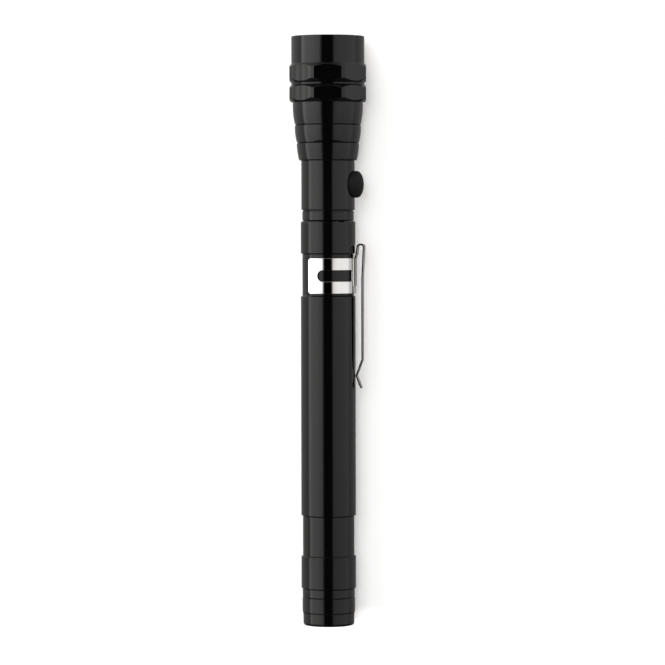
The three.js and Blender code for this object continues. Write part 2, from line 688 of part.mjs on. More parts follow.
// Conical helix, from a wide foot up to a narrow top
class SpringLine extends THREE.Curve {
  getPoint(t) {
    const angle = 2 * Math.PI * SPRING_TURNS * t;
    const radius = SPRING_BASE_RADIUS + (SPRING_TOP_RADIUS - SPRING_BASE_RADIUS) * t;
    const rise = SPRING_HEIGHT - 2 * SPRING_WIRE_RADIUS;
    const height = springBottom + SPRING_WIRE_RADIUS + rise * t;
    return new THREE.Vector3(radius * Math.cos(angle), radius * Math.sin(angle), height);
  }
}

function makeSpring() {
  const line = new SpringLine();
  const steps = SPRING_TURNS * SPRING_STEPS;
  const section = new THREE.Shape();
  section.absarc(0, 0, SPRING_WIRE_RADIUS, 0, 2 * Math.PI);
  const curveSegments = WIRE_SIDES / 2;
  const wire = new THREE.ExtrudeGeometry(section, { steps, curveSegments, extrudePath: line });
  addPiece("negative_spring", solid(wire), brightSteel);

  const points = line.getPoints(steps * 2);
  let leastGap = Infinity;
  points.forEach((point, i) => {
    points.slice(i + SPRING_STEPS).forEach((other) => {
      leastGap = Math.min(leastGap, point.distanceTo(other) - 2 * SPRING_WIRE_RADIUS);
    });
  });
  console.log(`negative_spring: least gap between its turns ${leastGap.toFixed(2)} mm`);
}

// Battery: a stack of button cells in an insulating sleeve, between a conical spring and a stud
function makeBattery() {
  const disc = ring(0, neckBore - FIT, discBottom, discTop, TUBE_SIDES);
  addPiece("negative_disc", disc, brass);
  makeSpring();
  const sleeveTop = cellsTop - CELL_SLEEVE_SHORT;
  const sleeve = ring(cellSleeveBore, cellSleeveRadius, springBottom, sleeveTop, HIDDEN_SIDES);
  addPiece("battery_sleeve", sleeve, whitePlastic);
  for (let i = 0; i < CELL_COUNT; i += 1) {
    const bottom = cellsBottom + i * (CELL_HEIGHT + CELL_GAP);
    const cell = turned([
      [0, bottom],
      [CELL_CAP_RADIUS, bottom],
      [CELL_CAP_RADIUS, bottom + CELL_CAP_HEIGHT],
      [CELL_RADIUS, bottom + CELL_CAP_HEIGHT],
      [CELL_RADIUS, bottom + CELL_HEIGHT],
      [0, bottom + CELL_HEIGHT],
    ], TUBE_SIDES);
    addPiece(`button_cell_${i + 1}`, cell, cellSteel);
  }
  const stud = ring(0, POSITIVE_STUD_RADIUS, studBottom, studBottom + POSITIVE_STUD_HEIGHT, SMALL_SIDES);
  addPiece("positive_contact", stud, brass);
}

// Centres of the LEDs about the axis
const ledPlaces = Array.from({ length: LED_COUNT }, (_, i) => {
  const angle = radians(LED_TURN + (360 / LED_COUNT) * i);
  return new THREE.Vector2(ledCircle * Math.cos(angle), ledCircle * Math.sin(angle));
});

function atLed(body, place) {
  return solid(geometryOf(body).translate(place.x, place.y, 0));
}

function ledLeads(width, bottom, top) {
  return [-1, 1].map((side) => {
    const middle = (side * LED_LEAD_SPACING) / 2;
    const half = width / 2;
    return solid(boxBetween([middle - half, -half, bottom], [middle + half, half, top]));
  });
}

// Lamp: three LEDs soldered to a board and held, with the pick-up magnet, behind the front plate
function makeLamp() {
  const dome = new THREE.EllipseCurve(0, ledTip - LED_RADIUS, LED_RADIUS, LED_RADIUS, 0, Math.PI / 2);
  const lens = turned([
    [0, ledBottom],
    [ledFlange, ledBottom],
    [ledFlange, ledBottom + LED_FLANGE_HEIGHT],
    [LED_RADIUS, ledBottom + LED_FLANGE_HEIGHT],
    ...dome.getPoints(DOME_STEPS).slice(0, -1).map((point) => [point.x, point.y]),
    [0, ledTip],
  ], SMALL_SIDES);
  const leadTop = ledBottom + LED_FLANGE_HEIGHT / 2;
  const leads = ledLeads(LED_LEAD, boardBottom + FACE_GAP, leadTop);
  const led = leads.reduce((joined, lead) => joined.add(lead), lens);

  let board = ring(0, lampRadius, boardBottom, boardTop, HIDDEN_SIDES);
  let holder = turned([
    [0, ledBottom],
    [lampRadius, ledBottom],
    [lampRadius, holderTop],
    [magnetHole, holderTop],
    [magnetHole, headMagnetBottom - FACE_GAP],
    [0, headMagnetBottom - FACE_GAP],
  ], HIDDEN_SIDES);
  let plate = ring(magnetHole, lampRadius, plateBottom, plateTop);

  const flangeRoom = ledBottom + LED_FLANGE_HEIGHT + FACE_GAP;
  const bodyHole = ring(0, ledHole, boardTop, lipTop, TUBE_SIDES);
  const flangeHole = ring(0, ledFlange + FIT, boardTop, flangeRoom, TUBE_SIDES);
  const leadHoles = ledLeads(LED_LEAD + 2 * LEAD_HOLE_FIT, studBottom, ledBottom);
  ledPlaces.forEach((place, i) => {
    addPiece(`led_${i + 1}`, atLed(led, place), ledLens);
    plate = plate.subtract(atLed(bodyHole, place));
    holder = holder.subtract(atLed(bodyHole, place)).subtract(atLed(flangeHole, place));
    board = leadHoles.reduce((drilled, hole) => drilled.subtract(atLed(hole, place)), board);
  });
  addPiece("led_board", board, circuitBoard);
  addPiece("led_holder", holder, whitePlastic);
  addPiece("front_plate", plate, blackPlastic);
  const magnet = ring(0, HEAD_MAGNET_RADIUS, headMagnetBottom, headMagnetTop, TUBE_SIDES);
  addPiece("head_magnet", magnet, magnetPlate);
}

// Outline of a grip ring between two heights, with sloping ends down to the lip's radius
function gripRing(bottom, top) {
  const slope = ringCorner - lipRadius;
  return [[lipRadius, bottom], [ringCorner, bottom + slope], [ringCorner, top - slope], [lipRadius, top]];
}

// Outline of a bell tier: it flares fast at its lower edge and slowly above, over a fine groove
function bellTier(radius, flare, curve, bottom, top) {
  const outline = [[radius - TIER_GROOVE, bottom]];
  const foot = bottom + TIER_GROOVE;
  for (let i = 0; i <= DOME_STEPS; i += 1) {
    const share = i / DOME_STEPS;
    const bulge = flare * (1 - (1 - share) ** curve);
    outline.push([radius + bulge, foot + (top - foot) * share]);
  }
  return outline;
}

// Head shell: a stepped bell with two grip rings whose rounds are milled to eight flats
function makeHeadShell() {
  const ring1Top = lipTop - LIP_LENGTH;
  const ring1Bottom = ring1Top - RING_1_LENGTH;
  const ring2Top = ring1Bottom - RING_GAP;
  const ring2Bottom = ring2Top - RING_2_LENGTH;
  const tier2Bottom = headBottom + TIER_3_LENGTH;
  const tier1Bottom = tier2Bottom + TIER_2_LENGTH;
  const footRadius = headThread + FOOT_WALL;
  const tier3Top = footRadius + TIER_3_FLARE;
  const tier2Top = tier3Top + TIER_2_FLARE;
  const ledge = boardBottom - FACE_GAP;
  const threadTop = neckSpigotTop + THREAD_GAP;
  const shell = turned([
    [headThread, headBottom],
    ...bellTier(footRadius, TIER_3_FLARE, TIER_3_CURVE, headBottom, tier2Bottom),
    ...bellTier(tier3Top, TIER_2_FLARE, TIER_2_CURVE, tier2Bottom, tier1Bottom),
    ...bellTier(tier2Top, TIER_1_FLARE, TIER_1_CURVE, tier1Bottom, ring2Bottom),
    ...gripRing(ring2Bottom, ring2Top),
    ...gripRing(ring1Bottom, ring1Top),
    [lipRadius, lipTop - LIP_EDGE],
    [lipRadius - LIP_EDGE, lipTop],
    [lampBore, lipTop],
    [lampBore, ledge],
    [cavityRadius, ledge],
    [cavityRadius, threadTop],
    [headThread, threadTop],
  ]);
  const flatsRadius = ringFlat / Math.cos(Math.PI / RING_FLATS);
  const height = lipTop - headBottom;
  const flats = new THREE.CylinderGeometry(
    flatsRadius, flatsRadius, 2 * height, RING_FLATS, 1, false, Math.PI / RING_FLATS)
    .rotateX(Math.PI / 2)
    .translate(0, 0, lipTop);
  addPiece("head_shell", shell.intersect(solid(flats)), blackCoat);
}

// Outline of a bent strip: its centre line is offset to both sides by half the thickness.
function stripShape(centre, thickness) {
  const outside = [];
  const inside = [];
  centre.forEach((point, i) => {
    const before = centre[Math.max(i - 1, 0)];
    const after = centre[Math.min(i + 1, centre.length - 1)];
    const along = after.clone().sub(before).normalize();
    const across = new THREE.Vector2(-along.y, along.x).multiplyScalar(thickness / 2);
    outside.push(point.clone().add(across));
    inside.unshift(point.clone().sub(across));
  });
  return new THREE.Shape([...outside, ...inside]);
}

// Centre line of the clip's arm in the XZ plane: up from the band, over a loop, down past an elbow
// outside the handle, in to the grip and out again at the tip
function clipLine(bandTop) {
  const footX = seatRadius + CLIP_BAND_FIT + CLIP_BAND_THICKNESS - CLIP_THICKNESS / 2;
  const loopX = footX + CLIP_LOOP_OFFSET;
  const loopZ = bandTop + CLIP_LOOP_RISE;
  const bendX = loopX + CLIP_LOOP_RADIUS - CLIP_ARM_LEAN;
  const bendZ = loopZ - CLIP_ARM_LENGTH;
  const touchX = gripRadius + CLIP_TOUCH_GAP + CLIP_THICKNESS / 2;
  const touchZ = bendZ - CLIP_BEND_DROP;
  const collarX = gripRadius + CLIP_COLLAR_GAP + CLIP_THICKNESS / 2;
  const line = new THREE.Path();
  line.moveTo(footX, bandTop - CLIP_ROOT_DEPTH);
  line.lineTo(footX, bandTop - CLIP_THICKNESS);
  line.lineTo(collarX, collarBottom + SHOULDER);
  line.absarc(loopX, loopZ, CLIP_LOOP_RADIUS, Math.PI, 0, true);
  line.lineTo(bendX, loopZ - CLIP_ELBOW_DROP);
  const kink = CLIP_KINK_RADIUS;
  line.lineTo(bendX, bendZ + kink);
  line.quadraticCurveTo(bendX, bendZ, bendX - kink / 2, bendZ - kink);
  line.lineTo(touchX + kink / 2, touchZ + kink);
  line.quadraticCurveTo(touchX - kink / 2, touchZ, touchX + kink / 2, touchZ - kink);
  line.lineTo(touchX + CLIP_TIP_FLARE, touchZ - CLIP_TIP_DROP);
  return {
    points: line.getPoints(DOME_STEPS),
    loopTop: loopZ + CLIP_LOOP_RADIUS,
    tipZ: touchZ - CLIP_TIP_DROP,
    reach: loopX + CLIP_LOOP_RADIUS + CLIP_THICKNESS,
  };
}

// Annular sector about Z, from one angle to another in degrees from the clip's arm
function sector(bore, radius, from, to, bottom, top) {
  const shape = new THREE.Shape();
  shape.absarc(0, 0, radius, radians(from), radians(to), false);
  shape.absarc(0, 0, bore, radians(to), radians(from), true);
  const curveSegments = Math.ceil((Math.abs(to - from) / 360) * SIDES);
  const depth = top - bottom;
  const plate = new THREE.ExtrudeGeometry(shape, { depth, curveSegments, bevelEnabled: false });
  return solid(plate.translate(0, 0, bottom));
}

// A geometry built about +Z, turned to point out of the band at an angle and a height
function outOfBand(geometry, angle, height) {
  return solid(geometry.rotateY(Math.PI / 2).rotateZ(radians(angle)).translate(0, 0, height));
}

// Pocket clip: a slotted spring band that snaps round the handle's waist, with a looped arm
function makeClip() {
  const bore = seatRadius + CLIP_BAND_FIT;
  const radius = bore + CLIP_BAND_THICKNESS;
  const bandBottom = gripTop + CLIP_BAND_GAP;
  const bandTop = bandBottom + CLIP_BAND_HEIGHT;
  const bandMiddle = (bandBottom + bandTop) / 2;
  const slotBottom = bandMiddle - CLIP_SLOT_HEIGHT / 2;
  const slotTop = bandMiddle + CLIP_SLOT_HEIGHT / 2;
  const slotRound = (CLIP_SLOT_HEIGHT / 2 / radius) * (180 / Math.PI);
  let clip = sector(bore, radius, -CLIP_BAND_REACH, CLIP_BAND_REACH, bandBottom, bandTop);
  [-1, 1].forEach((side) => {
    const near = side * CLIP_SLOT_NEAR;
    const far = side * (CLIP_SLOT_FAR - slotRound);
    const [from, to] = [Math.min(near, far), Math.max(near, far)];
    const slot = sector(bore / 2, 2 * radius, from, to, slotBottom, slotTop);
    const slotEnd = ring(0, CLIP_SLOT_HEIGHT / 2, 0, 2 * radius, SMALL_SIDES);
    clip = clip.subtract(slot).subtract(outOfBand(geometryOf(slotEnd), far, bandMiddle));
    [bandBottom, bandTop].forEach((height) => {
      const corner = new THREE.BoxGeometry(Math.SQRT2 * CLIP_CORNER, Math.SQRT2 * CLIP_CORNER, 2 * radius);
      const cutter = corner.rotateZ(Math.PI / 4).translate(0, 0, radius);
      clip = clip.subtract(outOfBand(cutter, side * CLIP_BAND_REACH, height));
    });
  });

  const line = clipLine(bandTop);
  const strip = stripShape(line.points, CLIP_THICKNESS);
  const arm = new THREE.ExtrudeGeometry(strip, { depth: CLIP_WIDTH, bevelEnabled: false })
    .rotateX(Math.PI / 2)
    .translate(0, CLIP_WIDTH / 2, 0);
  const tipRadius = CLIP_TIP_WIDTH / 2;
  const face = new THREE.Shape();
  face.moveTo(CLIP_WIDTH / 2, line.loopTop + CLIP_WIDTH);
  face.lineTo(-CLIP_WIDTH / 2, line.loopTop + CLIP_WIDTH);
  face.lineTo(-CLIP_WIDTH / 2, line.loopTop);
  face.absarc(0, line.tipZ + tipRadius, tipRadius, Math.PI, 2 * Math.PI, false);
  face.lineTo(CLIP_WIDTH / 2, line.loopTop);
  const facePlane = new THREE.Matrix4()
    .makeBasis(new THREE.Vector3(0, 1, 0), new THREE.Vector3(0, 0, 1), new THREE.Vector3(1, 0, 0));
  const depth = 2 * line.reach;
  const curveSegments = SMALL_SIDES / 2;
  const faceCut = new THREE.ExtrudeGeometry(face, { depth, curveSegments, bevelEnabled: false });
  clip = clip.add(solid(arm).intersect(solid(faceCut.applyMatrix4(facePlane))));
  addPiece("pocket_clip", solid(geometryOf(clip).rotateZ(radians(CLIP_TURN))), brightSteel);
}

makeHandle();
makeTail();
makeTelescope();
makeFlexibleNeck();
makePlug();
makeNeckAndSwitch();
makeBattery();
makeLamp();
makeHeadShell();
makeClip();
console.log(`closed ${lipTop.toFixed(2)} mm, each section draws ${draw.toFixed(2)} mm`);

export default flashlight;
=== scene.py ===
# %% [markdown]
# # A telescoping flashlight in gloss black
#
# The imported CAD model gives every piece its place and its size. This lesson dresses it: each turned
# piece is made again with fine rounded edges, because a gloss black surface shows every facet, and
# each one gets a finish made of nodes. The pieces are drawn in millimetres, like a workshop drawing,
# and scaled to metres when they are done.

# %% Load the frame
import math

import bmesh
import bpy
from mathutils import Matrix, Vector


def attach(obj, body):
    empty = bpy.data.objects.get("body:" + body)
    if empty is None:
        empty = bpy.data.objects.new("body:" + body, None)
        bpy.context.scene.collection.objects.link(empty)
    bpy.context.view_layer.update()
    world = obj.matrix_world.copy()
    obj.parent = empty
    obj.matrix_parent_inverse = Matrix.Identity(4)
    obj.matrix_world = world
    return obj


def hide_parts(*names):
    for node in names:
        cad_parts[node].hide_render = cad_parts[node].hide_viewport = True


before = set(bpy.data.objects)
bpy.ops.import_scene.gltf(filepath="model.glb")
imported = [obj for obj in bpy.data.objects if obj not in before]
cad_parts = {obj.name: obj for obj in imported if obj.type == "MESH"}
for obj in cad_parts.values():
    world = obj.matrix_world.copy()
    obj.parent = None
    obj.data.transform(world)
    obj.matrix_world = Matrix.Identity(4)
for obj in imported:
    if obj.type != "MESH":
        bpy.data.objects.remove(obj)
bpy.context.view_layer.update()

MM = 0.001
scene = bpy.context.scene


def new_object(name, data):
    made = bpy.data.objects.new(name, data)
    scene.collection.objects.link(made)
    return made


# %% [markdown]
# ## Camera
#
# The photograph is taken from far away with a long lens, a little above the middle of the
# flashlight, so its rings show as thin ellipses. A distance of a metre and a lens that sees 192 mm
# across give the same ellipses. The flashlight leans a tenth of a degree, which is a roll of the
# camera.

# %% Camera
CAMERA_DISTANCE = 1.0
CAMERA_HEIGHT = 0.1156
AIM_HEIGHT = 0.08462
CAMERA_SIDE = 0.00123
CAMERA_ROLL = 0.116
FRAME_WIDTH = 0.192
FILM_WIDTH = 36

camera_data = bpy.data.cameras.new("photo_camera")
camera = new_object("photo_camera", camera_data)
camera_data.sensor_width = FILM_WIDTH
camera_data.lens = FILM_WIDTH * CAMERA_DISTANCE / FRAME_WIDTH
camera_data.clip_start = 0.01
camera.location = (CAMERA_SIDE, -CAMERA_DISTANCE, CAMERA_HEIGHT)
aim = Vector((CAMERA_SIDE, 0, AIM_HEIGHT)) - camera.location
roll = Matrix.Rotation(math.radians(-CAMERA_ROLL), 3, "Z")
camera.rotation_euler = (aim.to_track_quat("-Z", "Y").to_matrix() @ roll).to_euler()
scene.camera = camera
scene.view_settings.view_transform = "Standard"
print("camera lens %.1f mm" % camera_data.lens)

# %% [markdown]
# ## Tools for finishes
#
# A finish starts as one Principled shader. What is the same all over is set on its sockets. What
# varies, such as a trace of handling in the gloss or the grain of rubber, comes from noise on Object
# coordinates, so it stays on the piece when the piece moves. One helper fills a node's inputs: a
# plain value is written in, and another node's output is linked.

# %% Tools for finishes
NOISE_LOW = 0.3
NOISE_HIGH = 0.7
NOISE_DETAIL = 3.0
EVEN = (1, 1, 1)


def set_input(socket, value):
    if isinstance(value, bpy.types.NodeSocket):
        socket.id_data.links.new(value, socket)
    else:
        socket.default_value = value


def set_inputs(node, **values):
    for key, value in values.items():
        set_input(node.inputs[key.replace("_", " ")], value)


def add_node(tree, kind, **values):
    node = tree.nodes.new(kind)
    set_inputs(node, **values)
    return node


def set_shader(material, **values):
    set_inputs(material.node_tree.nodes["Principled BSDF"], **values)


def new_finish(name, color, roughness, metallic=0.0, ior=1.5):
    material = bpy.data.materials.new(name)
    material.use_nodes = True
    set_shader(material, Base_Color=(*color, 1), Roughness=roughness, Metallic=metallic, IOR=ior)
    return material


def map_range(value, low, high, start, stop):
    return add_node(
        value.id_data, "ShaderNodeMapRange",
        Value=value, From_Min=low, From_Max=high, To_Min=start, To_Max=stop).outputs["Result"]


def object_noise(material, scale, stretch):
    tree = material.node_tree
    place = add_node(tree, "ShaderNodeTexCoord").outputs["Object"]
    place = add_node(tree, "ShaderNodeMapping", Vector=place, Scale=stretch).outputs["Vector"]
    noise = add_node(
        tree, "ShaderNodeTexNoise", Vector=place, Scale=scale, Detail=NOISE_DETAIL)
    return noise.outputs["Fac"]


def vary_roughness(material, low, high, scale, stretch=EVEN):
    noise = object_noise(material, scale, stretch)
    spread = map_range(noise, NOISE_LOW, NOISE_HIGH, low, high)
    set_shader(material, Roughness=spread)


def vary_color(material, dark, light, scale):
    noise = object_noise(material, scale, EVEN)
    ramp = add_node(material.node_tree, "ShaderNodeValToRGB", Fac=noise)
    start, stop = ramp.color_ramp.elements
    start.position, start.color = NOISE_LOW, (*dark, 1)
    stop.position, stop.color = NOISE_HIGH, (*light, 1)
    set_shader(material, Base_Color=ramp.outputs["Color"])


def add_grain(material, scale, depth, stretch=EVEN):
    noise = object_noise(material, scale, stretch)
    bump = add_node(material.node_tree, "ShaderNodeBump", Strength=1.0, Distance=depth, Height=noise)
    set_shader(material, Normal=bump.outputs["Normal"])


# %% [markdown]
# ## Finishes
#
# The photograph shows a gloss black coat that mirrors the studio in sharp vertical strips, so the
# coat is nearly smooth, with only a faint unevenness in its gloss that runs round the turned pieces.
# The clip is polished chrome. The button is soft black rubber with a fine grain. The pieces inside
# have the plain finishes of their trades: plated tube, brass, moulded plastic, nickel.

# %% Finishes
ROUND_MARKS = (1, 1, 12)

black_coat = new_finish("gloss_black_coat", (0.0012, 0.0012, 0.0013), 0.05, ior=1.42)
vary_roughness(black_coat, 0.035, 0.06, 90, ROUND_MARKS)
add_grain(black_coat, 700, 1.2e-7, ROUND_MARKS)

chrome = new_finish("polished_chrome", (0.86, 0.85, 0.84), 0.08, metallic=1.0)
vary_color(chrome, (0.82, 0.81, 0.80), (0.89, 0.88, 0.87), 250)
vary_roughness(chrome, 0.05, 0.11, 400, (1, 1, 0.15))

plated_tube = new_finish("plated_tube", (0.80, 0.80, 0.80), 0.1, metallic=1.0)
vary_color(plated_tube, (0.76, 0.76, 0.77), (0.83, 0.83, 0.83), 120)
vary_roughness(plated_tube, 0.07, 0.14, 500, (1, 1, 0.04))

neck_steel = new_finish("wound_neck_steel", (0.66, 0.66, 0.67), 0.2, metallic=1.0)
vary_color(neck_steel, (0.60, 0.60, 0.61), (0.70, 0.70, 0.71), 300)
vary_roughness(neck_steel, 0.14, 0.26, 600)

brass = new_finish("turned_brass", (0.72, 0.50, 0.20), 0.22, metallic=1.0)
vary_color(brass, (0.68, 0.46, 0.17), (0.76, 0.55, 0.24), 200)
vary_roughness(brass, 0.16, 0.3, 800, ROUND_MARKS)

nickel = new_finish("nickel_plate", (0.62, 0.60, 0.56), 0.2, metallic=1.0)
vary_color(nickel, (0.58, 0.56, 0.52), (0.66, 0.64, 0.60), 400)
vary_roughness(nickel, 0.14, 0.3, 900)

black_rubber = new_finish("black_rubber", (0.006, 0.006, 0.006), 0.6)
set_shader(black_rubber, Specular_IOR_Level=0.15)
vary_color(black_rubber, (0.005, 0.005, 0.005), (0.007, 0.007, 0.007), 900)
vary_roughness(black_rubber, 0.55, 0.68, 1500)
add_grain(black_rubber, 5000, 4e-6)

black_plastic = new_finish("black_moulded_plastic", (0.012, 0.012, 0.013), 0.45)
vary_roughness(black_plastic, 0.38, 0.52, 1200)
add_grain(black_plastic, 6000, 2e-6)

white_plastic = new_finish("white_moulded_plastic", (0.74, 0.72, 0.66), 0.45)
vary_color(white_plastic, (0.72, 0.70, 0.64), (0.77, 0.75, 0.69), 200)
add_grain(white_plastic, 5000, 2e-6)

circuit_board = new_finish("circuit_board", (0.02, 0.13, 0.05), 0.4)
vary_color(circuit_board, (0.016, 0.11, 0.04), (0.026, 0.16, 0.065), 700)
vary_roughness(circuit_board, 0.32, 0.48, 900)

cell_steel = new_finish("cell_can_steel", (0.62, 0.62, 0.63), 0.18, metallic=1.0)
vary_color(cell_steel, (0.58, 0.58, 0.59), (0.66, 0.66, 0.67), 300)
vary_roughness(cell_steel, 0.12, 0.26, 700)

led_cup = new_finish("led_cup_silver", (0.8, 0.8, 0.78), 0.25, metallic=1.0)
vary_roughness(led_cup, 0.2, 0.32, 1500)

phosphor = new_finish("led_phosphor", (0.85, 0.62, 0.06), 0.5)
vary_color(phosphor, (0.80, 0.56, 0.05), (0.88, 0.68, 0.09), 3000)

led_glass = new_finish("led_clear_resin", (0.97, 0.98, 1.0), 0.03)
set_shader(led_glass, Transmission_Weight=1.0)
vary_roughness(led_glass, 0.02, 0.05, 600)
print("finishes:", len(bpy.data.materials))

# %% [markdown]
# ## Tools for turned pieces
#
# Most of this object comes off a lathe. A turned piece is an outline of radius and height, spun
# about the axis. A bare outline would have knife edges, so each corner carries a small fillet. Short
# guard points beside each fillet keep the smooth shading of the fillet off the long walls, where
# it would bend the reflections.

# %% Tools for turned pieces
FILLET_STEP = 11.0
FILLET_SHARE = 0.45
STRAIGHT = 0.01
GUARD = 0.06
AXIS = 1e-6
FINE_SIDES = 256
COARSE_SIDES = 128


def rounded(corners, closed=True):
    points = [Vector((radius, height)) for radius, height, _ in corners]
    path = []
    for i, (_, _, fillet) in enumerate(corners):
        point = points[i]
        is_end = not closed and i in (0, len(points) - 1)
        if fillet <= 0 or is_end:
            path.append(point)
            continue
        before = points[i - 1] - point
        after = points[(i + 1) % len(points)] - point
        turn = math.pi - before.angle(after)
        if turn < STRAIGHT:
            path.append(point)
            continue
        room = FILLET_SHARE * min(before.length, after.length)
        reach = min(fillet * math.tan(turn / 2), room)
        radius = reach / math.tan(turn / 2)
        guard = min(GUARD, room / 10)
        before.normalize()
        after.normalize()
        centre = point + (before + after).normalized() * radius / math.cos(turn / 2)
        start = point + before * reach - centre
        end = point + after * reach - centre
        path.append(point + before * (reach + guard))
        steps = max(2, math.ceil(math.degrees(turn) / FILLET_STEP))
        sweep = start.angle_signed(end)
        for k in range(steps + 1):
            path.append(centre + Matrix.Rotation(-sweep * k / steps, 2) @ start)
        path.append(point + after * (reach + guard))
    return [(p.x, p.y) for p in path]


def circle(shape, radius, height, sides):
    ring = []
    for k in range(sides):
        angle = 2 * math.pi * k / sides
        x, y = radius * math.cos(angle), radius * math.sin(angle)
        ring.append(shape.verts.new((x, y, height)))
    return ring


def join_rings(shape, low, high):
    for k in range(len(low)):
        n = (k + 1) % len(low)
        corners = list(dict.fromkeys([low[k], low[n], high[n], high[k]]))
        if len(corners) > 2:
            shape.faces.new(corners)


def closed_mesh(name, shape):
    bmesh.ops.recalc_face_normals(shape, faces=shape.faces)
    mesh = bpy.data.meshes.new(name)
    shape.to_mesh(mesh)
    shape.free()
    return mesh


def turned_mesh(name, path, closed=True, sides=FINE_SIDES):
    shape = bmesh.new()
    rings = []
    for radius, height in path:
        if radius < AXIS:
            rings.append([shape.verts.new((0, 0, height))] * sides)
        else:
            rings.append(circle(shape, radius, height, sides))
    pairs = list(zip(rings, rings[1:]))
    if closed:
        pairs.append((rings[-1], rings[0]))
    for low, high in pairs:
        join_rings(shape, low, high)
    return closed_mesh(name, shape)


# %% [markdown]
# A workpiece in millimetres becomes a finished piece in three moves: its modifiers are applied, its
# mesh is scaled to metres, and edges sharper than the fillets are marked sharp. The finished pieces
# are kept in a list with the CAD nodes that they stand for.

# %% From workpiece to finished piece
SHARP_ANGLE = math.radians(32)
dressed = []


def settle(workpiece, finish, body, nodes, slot, place=None):
    name = workpiece.name
    evaluated = workpiece.evaluated_get(bpy.context.evaluated_depsgraph_get())
    mesh = bpy.data.meshes.new_from_object(evaluated)
    mesh.transform(Matrix.Scale(MM, 4) @ (place or Matrix.Identity(4)))
    bpy.data.objects.remove(workpiece)
    mesh.shade_smooth()
    mesh.set_sharp_from_angle(angle=SHARP_ANGLE)
    mesh.materials.clear()
    mesh.materials.append(finish)
    piece = new_object(name, mesh)
    dressed.append((piece, body, nodes, slot))
    print("%s: %d faces" % (name, len(mesh.polygons)))


def turned_piece(node, finish, body, slot, corners, closed=True, sides=FINE_SIDES, place=None):
    mesh = turned_mesh(node, rounded(corners, closed), closed, sides)
    settle(new_object("turned_" + node, mesh), finish, body, [node], slot, place)


# %% [markdown]
# ## Handle
#
# The barrel is one long tube with two waists. The lower waist runs into the tail cap, and the clip
# grips the upper one. Each shoulder is a steep bevel. It mirrors the handle itself instead of the
# lights, and so it shows in the photograph as a fine dark line round the handle.

# %% Handle
# Fillets, from the edges of thin tube to a full round
HAIR = 0.03
CREASE = 0.02
FINE = 0.05
EDGE = 0.06
BREAK = 0.1
SOFT = 0.15
ROUND = 0.2

BORE = 6.3
SPIGOT = 6.95
SEAT = 7.45
GRIP = 7.91
SHOULDER = 0.35
BEVEL = 0.3
TOUCH = 0.01
CLEAR = 0.1
SPIGOT_LOW = 12.3
CAP_TOP = 20.2
LOWER_WAIST_TOP = 31.9
UPPER_WAIST_LOW = 95.4
UPPER_WAIST_TOP = 107.2
MOUTH = 116.8

turned_piece("barrel", black_coat, "handle", "black_coat", [
    (BORE, SPIGOT_LOW, 0),
    (SPIGOT, SPIGOT_LOW, BREAK),
    (SPIGOT, CAP_TOP + TOUCH, 0),
    (SEAT, CAP_TOP + TOUCH, EDGE),
    (SEAT, LOWER_WAIST_TOP - SHOULDER, CREASE),
    (GRIP, LOWER_WAIST_TOP, EDGE),
    (GRIP, UPPER_WAIST_LOW - SHOULDER, EDGE),
    (SEAT, UPPER_WAIST_LOW, CREASE),
    (SEAT, UPPER_WAIST_TOP, CREASE),
    (GRIP, UPPER_WAIST_TOP + SHOULDER, EDGE),
    (GRIP, MOUTH - SHOULDER, EDGE),
    (GRIP - SHOULDER, MOUTH, EDGE),
    (BORE, MOUTH, BREAK),
])

BUSH_BORE = 5.85
BUSH = 6.2
BUSH_LOW = 106.3
BUSH_TOP = 116.3
turned_piece("guide_bush", black_plastic, "handle", "black_plastic", [
    (BUSH_BORE, BUSH_LOW, BREAK),
    (BUSH, BUSH_LOW, 0),
    (BUSH, BUSH_TOP, BREAK),
    (BUSH_BORE, BUSH_TOP, SOFT),
], sides=COARSE_SIDES)

# %% [markdown]
# ## Tail cap
#
# The cap steps down three times towards the tail, each step with its own fine dark line, and ends in
# a rounded edge that the flashlight stands on. A disc magnet is let into the flat end.

# %% Tail cap
WAIST = 7.56
STEP = 7.62
TIP = 7.44
TIP_ROUND = 0.8
LINE = 0.2
TIP_TOP = 3.9
STEP_EDGE = 7.95
STEP_TOP = 8.12
WAIST_TOP = 10.9
POCKET = 4.6
POCKET_DEPTH = 3.3
CAP_FLOOR = 4.5
CAP_BORE = 6.4
CAP_THREAD = 7.05

turned_piece("tail_cap", black_coat, "handle", "black_coat", [
    (0, POCKET_DEPTH, 0),
    (POCKET, POCKET_DEPTH, 0),
    (POCKET, 0, BREAK),
    (TIP - EDGE, 0, TIP_ROUND),
    (TIP, TIP_TOP - SHOULDER, CREASE),
    (STEP, TIP_TOP, EDGE),
    (STEP, STEP_EDGE, EDGE),
    (STEP - LINE, STEP_TOP, CREASE),
    (WAIST, STEP_TOP + LINE, EDGE),
    (WAIST, WAIST_TOP - SHOULDER, CREASE),
    (GRIP, WAIST_TOP, EDGE),
    (GRIP, CAP_TOP - LINE, EDGE),
    (GRIP - SHOULDER, CAP_TOP, EDGE),
    (CAP_THREAD, CAP_TOP, 0),
    (CAP_THREAD, WAIST_TOP, 0),
    (CAP_BORE, WAIST_TOP, 0),
    (CAP_BORE, CAP_FLOOR, 0),
    (0, CAP_FLOOR, 0),
], closed=False)


def magnet_disc(node, body, radius, low, high, high_round):
    turned_piece(node, nickel, body, "magnet_plate", [
        (0, low, 0),
        (radius, low, ROUND),
        (radius, high, high_round),
        (0, high, 0),
    ], closed=False, sides=COARSE_SIDES)


magnet_disc("tail_magnet", "handle", radius=4.5, low=0.2, high=3.2, high_round=ROUND)

# %% [markdown]
# ## Telescope
#
# Each tube is drawn in at its lower end, where it stops the sleeve of the next tube, and has a
# shallow groove at its upper end for its own sleeve. The tubes differ only in radius, so one rule
# draws them all. The thinnest ends in a flat foot that turns in the handle.

